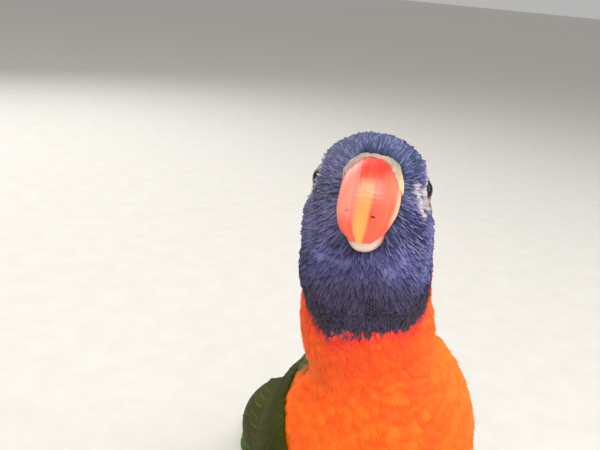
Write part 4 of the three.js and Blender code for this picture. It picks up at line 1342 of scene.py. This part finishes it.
# Red horn with a yellow stripe down its ridge; side is -1 on the right, height 1 on the ridge
def billMaterial():
    material, s, surface = makeMaterial("bill", 0.33, Coat_Weight=0.3, Coat_Roughness=0.3,
                                        Specular_IOR_Level=0.4)
    coords = s.attribute("place").outputs["Vector"]
    t, side, height = s.split(coords)[:3]
    grain = s.noise(coords, 9.0, 4.0, 0.6)
    drift = s.math("MULTIPLY_ADD", s.math("SUBTRACT", grain, 0.5), 0.16, side)  # streaks that wander a little
    front = s.steps(height, -0.1, 0.35)

    def nearSide(middle):  # how far to the side of a streak
        return s.math("ABSOLUTE", s.math("ADD", drift, -middle))

    colour = s.blend(s.steps(t, 0.36, 0.6), tone(billTones["root"]), tone(billTones["middle"]))
    leftSide = s.math("MULTIPLY", s.steps(drift, 0.3, 0.5), s.steps(t, 0.36, 0.5))
    colour = s.blend(leftSide, colour, tone(billTones["left"]))
    # Painted reflection of the sky: salmon pink on the horn's right side
    skyReflectionPink = s.math("MULTIPLY", s.steps(drift, -0.36, -0.46), s.steps(t, 0.86, 0.7))
    colour = s.blend(s.math("MULTIPLY", skyReflectionPink, 0.9), colour, tone(billTones["skyReflectionPink"]))
    line = s.math("MULTIPLY", s.steps(nearSide(-0.47), 0.09, 0.02), front)
    colour = s.blend(s.math("MULTIPLY", line, 0.55), colour, tone(billTones["line"]))
    stripe = s.math("MULTIPLY", s.steps(nearSide(-0.14), 0.36, 0.16), front)
    stripe = s.math("MULTIPLY", stripe, s.steps(t, 0.47, 0.58))
    ridge = s.blend(s.steps(t, 0.55, 0.9), tone(billTones["stripe"]), tone(billTones["stripeTip"]))
    colour = s.blend(s.math("MULTIPLY", stripe, 0.85), colour, ridge)
    low = s.math("MULTIPLY", s.steps(t, 0.72, 0.9), s.steps(nearSide(-0.1), 0.3, 0.5))
    colour = s.blend(s.math("MULTIPLY", low, 0.6), colour, tone(billTones["tip"]))
    thin = s.math("MULTIPLY", s.steps(t, 0.4, 0.5), s.steps(t, 0.82, 0.7))  # light shows through the edge
    thin = s.math("MULTIPLY", thin, s.steps(side, 0.84, 0.97))
    colour = s.blend(s.math("MULTIPLY", thin, 0.8), colour, tone(billTones["edge"]))
    mottled = s.steps(s.noise(coords, 3.5, 3.0, 0.6), 0.4, 0.65)
    colour = s.blend(s.math("MULTIPLY", mottled, 0.12), colour, tone(billTones["mottle"]))
    for spotT, spotSide, long, wide, depth, shade in billFacts["spots"]:
        alongSpot = s.math("POWER", s.math("DIVIDE", s.math("SUBTRACT", t, spotT), long), 2.0)
        acrossSpot = s.math("POWER", s.math("DIVIDE", s.math("SUBTRACT", drift, spotSide), wide), 2.0)
        away = s.math("SQRT", s.math("ADD", alongSpot, acrossSpot))
        mark = s.math("MULTIPLY", s.math("MULTIPLY", s.steps(away, 1.2, 0.6), front), depth)
        colour = s.blend(mark, colour, tone(shade))
    s.put(surface["Base Color"], colour)
    s.put(surface["Roughness"], s.steps(grain, 0.3, 0.7, 0.28, 0.44))
    growth = s.math("SINE", s.math("MULTIPLY_ADD", t, 190.0, s.math("MULTIPLY", grain, 9.0)))
    fine = s.math("ADD", s.math("MULTIPLY", growth, 0.25), grain)  # growth lines and grain
    s.put(surface["Normal"], bump(s, fine, 0.22, 0.0002))
    return material


def cereMaterial():
    material, s, surface = makeMaterial("cere", 0.6, Specular_IOR_Level=0.25)
    coords = s.attribute("place").outputs["Vector"]
    t, side = s.split(coords)[:2]
    grain = s.noise(coords, 14.0, 4.0, 0.65)
    patches = s.noise(coords, 4.0, 3.0, 0.6)
    drift = s.math("MULTIPLY_ADD", s.math("SUBTRACT", patches, 0.5), 0.7, side)
    colour = s.blend(s.steps(drift, -0.35, 0.1), tone(cereFacts["right"]), tone(cereFacts["ridge"]))
    colour = s.blend(s.steps(drift, 0.2, 0.6), colour, tone(cereFacts["left"]))
    lobe = s.math("MULTIPLY", s.steps(drift, 0.7, 1.0), s.steps(t, 0.24, 0.36))
    colour = s.blend(lobe, colour, tone(cereFacts["lobe"]))
    colour = s.blend(s.math("MULTIPLY", s.steps(grain, 0.48, 0.75), 0.5), colour, tone(cereFacts["speck"]))
    colour = s.blend(s.math("MULTIPLY", s.steps(patches, 0.5, 0.7), 0.35), colour, tone(cereFacts["patch"]))
    s.put(surface["Base Color"], colour)
    s.put(surface["Normal"], bump(s, s.math("ADD", grain, patches), 0.8, 0.0004))
    return material


def makeBill():
    facts = billFacts
    f, l, u, place = billRings(
        facts["culmen"], facts["edge"], facts["half"], cereFacts["end"] + 0.01, 1.0, 90, 72)
    t, height = place[..., 0], place[..., 2]
    l = l * mix(1, facts["tipNarrow"], smooth(0.6, 0.9, t)) + facts["lean"] * smooth(0.5, 0.9, t)
    deep, middle, long = facts["tooth"]
    notch = deep * np.exp(-((t - middle) / long) ** 2) * smooth(-0.6, -1.0, height)
    upper = shellObject("upper_bill_horn", inHead(f, l, u - notch), billMaterial(), {"place": place})
    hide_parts("upper_bill")
    f, l, u, place = billRings(facts["lowerTop"], facts["lowerKeel"], facts["lowerHalf"], 0.02, 1.0, 50, 56)
    l = l + 0.7 * facts["lean"] * smooth(0.4, 0.9, place[..., 0])
    lower = shellObject("lower_bill_horn", inHead(f, l, u), lowerBillMaterial(), {"place": place})
    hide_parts("lower_bill")


def makeCere():
    turns, rows = 96, 60
    angle = np.arange(turns) / turns * 2 * math.pi
    angle = np.degrees(angle + math.pi) % 360 - 180  # 0 on the ridge, more than 0 to the left
    end = cereFacts["end"] - 0.01 + 0 * angle
    for middle, width, further in cereFacts["lobes"]:
        end = end + further * np.exp(-((angle - middle) / width) ** 2)
    end = end + 0.008 * np.sin(angle / 7) + 0.005 * np.sin(angle / 2.6)
    share = np.linspace(0, 1, rows + 16)[:, None]
    wrinkles = 0.02 * np.sin(angle / 9 + 5 * share) + 0.016 * np.sin(angle / 4.1 - 9 * share)
    swell = mix(*cereFacts["swell"], smooth(0.45, 0.95, share)) + wrinkles * smooth(1, 0.8, share)
    f, l, u, place = billRings(
        billFacts["culmen"], billFacts["edge"], billFacts["half"], 0.02, end, rows, turns, swell)
    points, core = inHead(f, l, u), inHead(*cereFacts["core"])
    size, depth, rim = cereFacts["nostrilSize"], cereFacts["nostrilDepth"], cereFacts["nostrilRim"]
    for side, word in sides:
        centre = inHead(*np.array(cereFacts["nostril"], float) * [1, side, 1])
        away = np.linalg.norm(points - centre, axis=-1)
        inward = unit(core - points)
        points = points + inward * (depth * smooth(size, size * 0.5, away))[..., None]
        points = points - inward * (rim * np.exp(-((away - size * 1.5) / 0.45) ** 2))[..., None]
    grain = np.sin(place[..., 1] * 31) * np.sin(place[..., 0] * 120)
    points = points - unit(core - points) * (0.04 * grain)[..., None]
    piece = shellObject("cere_skin", points, cereMaterial(), {"place": place})
    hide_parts("cere")


print("bill")
makeBill()
makeCere()


# Eyes and lids

eyeTones = {
    "iris": "4c1c10", "irisRim": "2a110c", "spokes": "6e2a14",
    "pupil": (0.002, 0.002, 0.002, 1), "edge": (0.01, 0.007, 0.006, 1),  # the edge is round the iris
    "lid": "5a5054", "lidPale": "a3959a",
}


def eyeMaterial():
    material, s, surface = makeMaterial("eye", 0.06, IOR=1.3, Specular_IOR_Level=0.5)
    ring, angle = s.split(s.attribute("place").outputs["Vector"])[:2]
    spoke = s.node("ShaderNodeCombineXYZ", in_0=s.math("MULTIPLY", angle, 9.0), in_1=ring).outputs[0]
    spokes = s.math("MULTIPLY", s.steps(s.noise(spoke, 3.0, 4.0, 0.6), 0.4, 0.7), 0.5)
    iris = s.blend(s.steps(ring, 0.42, 0.8), tone(eyeTones["iris"]), tone(eyeTones["irisRim"]))
    iris = s.blend(spokes, iris, tone(eyeTones["spokes"]))
    colour = s.blend(s.steps(ring, 0.44, 0.4), iris, eyeTones["pupil"])
    s.put(surface["Base Color"], s.blend(s.steps(ring, 0.84, 0.95), colour, eyeTones["edge"]))
    return material


def lidMaterial():
    material, s, surface = makeMaterial("eyelid skin", 0.55, Specular_IOR_Level=0.4)
    grain = s.noise(s.attribute("place").outputs["Vector"], 8.0, 4.0, 0.65)
    colour = s.blend(s.steps(grain, 0.35, 0.7), tone(eyeTones["lid"]), tone(eyeTones["lidPale"]))
    s.put(surface["Base Color"], colour)
    s.put(surface["Normal"], bump(s, grain, 0.7, 0.0003))
    return material


def eyeFrame(side):  # out of the eye, forward and up
    axis = eyeAxisOf(side)
    ahead = unit(forward - axis * (forward @ axis))
    return axis, ahead, np.cross(axis, ahead)


def makeEyeball(side, word, material):
    axis, ahead, over = eyeFrame(side)
    lean = np.radians(np.linspace(2, 178, 60))[:, None]
    angle = (np.arange(64) / 64 * 2 * math.pi)[None]
    radius = eyeFacts["radius"] - 0.2 + 0.35 * np.exp(-(lean / 0.62) ** 4)  # the cornea bulges in the middle
    ways = ahead * (np.cos(angle) * np.sin(lean))[..., None]
    ways = ways + over * (np.sin(angle) * np.sin(lean))[..., None]
    ways = ways + axis * (np.cos(lean) + 0 * angle)[..., None]
    points = eyeCentres[side] + ways * radius[..., None]
    fromPupil = np.sin(lean) * np.where(lean < math.pi / 2, 1, 3)  # over 1 on the eye's back
    place = np.stack(np.broadcast_arrays(fromPupil, np.sin(angle), np.cos(angle)), -1)
    ball = shellObject(f"{word}_eyeball", points, material, {"place": place})
    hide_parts(f"{word}_eye")


# A ring of wrinkled bare skin round the eye
def makeLids(side, word, material):
    axis, ahead, over = eyeFrame(side)
    turns, corners = 96, 20
    turnAngle = (np.arange(turns) / turns * 2 * math.pi)[:, None]
    tubeAngle = (np.arange(corners) / corners * 2 * math.pi)[None]
    squeeze = 1 - 0.13 * np.sin(turnAngle) ** 2
    wrinkle = 0.1 * np.sin(26 * turnAngle + 2 * np.sin(3 * tubeAngle)) * np.cos(tubeAngle / 2) ** 2
    thick = eyeFacts["lidThickness"] * (0.78 + wrinkle)
    out = ahead * np.cos(turnAngle)[..., None] + over * (np.sin(turnAngle) * squeeze)[..., None]
    points = eyeCentres[side] + axis * eyeFacts["lidOut"] + out * eyeFacts["lidRing"]
    points = points + out * (thick * np.cos(tubeAngle))[..., None]
    points = points + axis * (thick * np.sin(tubeAngle) * 0.9)[..., None]
    faces = gridFaces(turns + 1, corners, True) % (turns * corners)  # the last ring is the first again
    place = np.stack(np.broadcast_arrays(4 * np.cos(turnAngle), 4 * np.sin(turnAngle), np.sin(tubeAngle)), -1)
    piece = makeObject(f"{word}_lids", points, faces, material, {"place": place})


print("eyes")
eyeFinish, lidFinish = eyeMaterial(), lidMaterial()
for side, word in sides:
    makeEyeball(side, word, eyeFinish)
    makeLids(side, word, lidFinish)


# Feet and claws

footFacts = {
    "tarsus": {"radii": [2.7, 2.3, 3.0], "ridges": 0.14, "every": 1.5, "foot": 2.6},
    "toe": {"radii": [2.31, 2.1, 1.953, 1.722], "ridges": 0.16, "every": 1.6},  # a scute every 1.6 mm
    "toeLine": ((0, 3.6), (0.3, 2.3), (0.65, 1.75), (1, 1.6)),  # share of its length, and height
    "clawRadii": [1.3, 1.15, 0.8, 0.3],
    "clawLine": ((0, 1.9), (0.4, 2.9), (0.75, 2.3), (1, 0.75)),
    "clawRoot": 1.2,  # how far the claw reaches back over its toe
    "toes": [  # name, degrees outwards from straight ahead, length, claw's length
        ("inner_front", -22, 15, 7), ("outer_front", 14, 20, 8),
        ("outer_back", 140, 18, 8), ("inner_back", 196, 11, 6.5),
    ],
    "scale": "4a4743", "scalePale": "8a857c", "seam": "2a2725",
    "claw": "191716", "clawRootTone": "4d4741", "clawPale": "6b6258",
}


def footMaterial():
    material, s, surface = makeMaterial("scaled foot", 0.6, Specular_IOR_Level=0.35)
    coords = s.attribute("place").outputs["Vector"]
    cells = s.node("ShaderNodeTexVoronoi", feature="DISTANCE_TO_EDGE")
    s.put(cells.inputs["Vector"], coords)
    cells.inputs["Scale"].default_value = 1.7
    scales = s.steps(cells.outputs[0], 0.02, 0.14)  # 0 in the seams
    grain = s.noise(coords, 3.0, 3.0, 0.6)
    colour = s.blend(grain, tone(footFacts["scale"]), tone(footFacts["scalePale"]))
    colour = s.blend(s.math("MULTIPLY", s.steps(scales, 1.0, 0.0), 0.6), colour, tone(footFacts["seam"]))
    s.put(surface["Base Color"], colour)
    s.put(surface["Normal"], bump(s, s.math("ADD", scales, s.math("MULTIPLY", grain, 0.3)), 0.8, 0.0004))
    return material


def clawMaterial():
    material, s, surface = makeMaterial("claw horn", 0.32, Coat_Weight=0.3, Coat_Roughness=0.2)
    coords = s.attribute("place").outputs["Vector"]
    grain = s.noise(coords, 2.2, 3.0, 0.6)
    fromRoot = s.split(coords)[0]
    colour = s.blend(s.steps(fromRoot, 8.0, 0.0), tone(footFacts["claw"]), tone(footFacts["clawRootTone"]))
    colour = s.blend(s.math("MULTIPLY", grain, 0.3), colour, tone(footFacts["clawPale"]))
    s.put(surface["Base Color"], colour)
    s.put(surface["Normal"], bump(s, grain, 0.25, 0.0002))
    return material


# A tube with scutes across it, flat where it rests on the floor
def limbPiece(name, curve, radii, rows, turns, material, ridges=0.0, every=1.0):
    rings = tube(curve, radii, rows, turns)
    length = np.linalg.norm(np.diff(np.asarray(curve, float), axis=0), axis=1).sum()
    row = np.clip((np.arange(rings.shape[0]) - 3) / (rows - 1), 0, 1)[:, None]
    angle = (np.arange(turns) / turns * 2 * math.pi)[None]
    scute = ridges * np.abs(np.sin(math.pi * row * length / every)) ** 0.6 + 0 * angle
    rings = rings + unit(rings - rings.mean(1, keepdims=True)) * scute[..., None]
    rings[..., 2] = np.maximum(rings[..., 2], 0.0)
    place = np.stack(np.broadcast_arrays(row * length, 2 * np.cos(angle), 2 * np.sin(angle)), -1)
    return shellObject(name, rings, material, {"place": place})


def makeFoot(side, word, footFinish, clawFinish):
    foot = np.array(legFacts["foot"], float) * [side, 1, 1]
    ankle = heel * [side, 1, 1]
    tarsus, toe = footFacts["tarsus"], footFacts["toe"]
    root = np.array([foot[0], foot[1], tarsus["foot"]])
    piece = limbPiece(f"{word}_tarsus", [ankle + [0, -0.5, 2], mix(ankle, root, 0.5), root], tarsus["radii"],
                      60, 28, footFinish, tarsus["ridges"], tarsus["every"])
    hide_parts(f"{word}_foot")
    start = np.array([foot[0], foot[1], 0.0])
    for name, outwards, length, clawLength in footFacts["toes"]:
        a = math.radians(outwards)
        way = np.array([side * math.sin(a), -math.cos(a), 0])
        curve = [start + way * length * share + [0, 0, z] for share, z in footFacts["toeLine"]]
        piece = limbPiece(f"{word}_toe_{name}", curve, toe["radii"], 60, 26, footFinish,
                          toe["ridges"], toe["every"])
        clawStart = start + way * (length - footFacts["clawRoot"])
        curve = [clawStart + way * (clawLength + 1) * share + [0, 0, z] for share, z in footFacts["clawLine"]]
        nail = limbPiece(f"{word}_nail_{name}", curve, footFacts["clawRadii"], 30, 20, clawFinish)
        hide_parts(f"{word}_claw_{name}")


print("feet")
footFinish, clawFinish = footMaterial(), clawMaterial()
for side, word in sides:
    makeFoot(side, word, footFinish, clawFinish)


# Floor, light and camera

stageFacts = {
    "floorHalf": 60.0,  # metres
    "floor": "cfccc5", "floorPale": "dddad4",
    "lightsAim": (0, -0.03, 0.12),
    "lights": [  # name, place, watts, width, colour
        ("high soft light", (-0.25, -0.75, 0.95), 13.0, 0.8, (1, 0.97, 0.93)),
        ("side soft light", (0.8, -0.45, 0.5), 5.0, 0.8, (0.97, 0.98, 1)),
        ("back soft light", (-0.3, 0.8, 0.7), 6.0, 0.8, (1, 1, 1)),
    ],
    "studio": (0.86, 0.85, 0.84, 1), "studioStrength": 0.55,
}
viewFacts = {
    "azimuth": 18, "pitch": -18.6, "roll": 5.7,  # degrees
    "distance": 0.161,  # from the eyes' midpoint, metres
    "eyePixel": (372, 185),  # where that midpoint is in the picture
    "picture": (600, 450), "focal": 703,  # pixels
    "sensor": 36,  # mm
}


def makeFloor():
    material, s, surface = makeMaterial("pale floor", 0.9)
    grain = s.noise(s.node("ShaderNodeNewGeometry").outputs["Position"], 60.0, 3.0, 0.6)
    s.put(surface["Base Color"], s.blend(grain, tone(stageFacts["floor"]), tone(stageFacts["floorPale"])))
    s.put(surface["Normal"], bump(s, grain, 0.1, 0.0005))
    mesh = bpy.data.meshes.new("floor")
    half = stageFacts["floorHalf"]
    corners = [(-half, -half, 0), (half, -half, 0), (half, half, 0), (-half, half, 0)]
    mesh.from_pydata(corners, [], [(0, 1, 2, 3)])
    mesh.materials.append(material)
    floor = bpy.data.objects.new("floor", mesh)
    bpy.context.scene.collection.objects.link(floor)


def makeLight(name, place, energy, size, colour):
    data = bpy.data.lights.new(name, "AREA")
    data.energy, data.size, data.color = energy, size, colour
    lamp = bpy.data.objects.new(name, data)
    lamp.location = place
    way = Vector(stageFacts["lightsAim"]) - Vector(place)
    lamp.rotation_euler = way.to_track_quat("-Z", "Y").to_euler()
    bpy.context.scene.collection.objects.link(lamp)


def makeStudio():  # even light from all around, and true colours, as a plain camera gives them
    world = bpy.data.worlds.new("studio")
    world.use_nodes = True
    background = world.node_tree.nodes["Background"].inputs
    background["Color"].default_value = stageFacts["studio"]
    background["Strength"].default_value = stageFacts["studioStrength"]
    bpy.context.scene.world = world
    bpy.context.scene.view_settings.view_transform = "Standard"


def makeCamera():
    azimuth, pitch, roll = (math.radians(viewFacts[key]) for key in ("azimuth", "pitch", "roll"))
    look = Vector((math.sin(azimuth) * math.cos(pitch), math.cos(azimuth) * math.cos(pitch), math.sin(pitch)))
    flat = Vector((math.cos(azimuth), -math.sin(azimuth), 0))
    right = flat * math.cos(roll) + flat.cross(look) * math.sin(roll)
    over = right.cross(look)
    wide, tall = viewFacts["picture"]
    x, y = viewFacts["eyePixel"]
    ray = look + right * ((x - wide / 2) / viewFacts["focal"]) - over * ((y - tall / 2) / viewFacts["focal"])
    place = Vector(eyeMiddle) - ray * viewFacts["distance"]
    data = bpy.data.cameras.new("camera")
    data.lens = viewFacts["focal"] / wide * viewFacts["sensor"]
    data.sensor_width, data.clip_start = viewFacts["sensor"], 0.001
    camera = bpy.data.objects.new("camera", data)
    camera.matrix_world = Matrix((
        (right.x, over.x, -look.x, place.x), (right.y, over.y, -look.y, place.y),
        (right.z, over.z, -look.z, place.z), (0, 0, 0, 1),
    ))
    bpy.context.scene.collection.objects.link(camera)
    bpy.context.scene.camera = camera


print("stage")
makeFloor()
for light in stageFacts["lights"]:
    makeLight(*light)
makeStudio()
makeCamera()
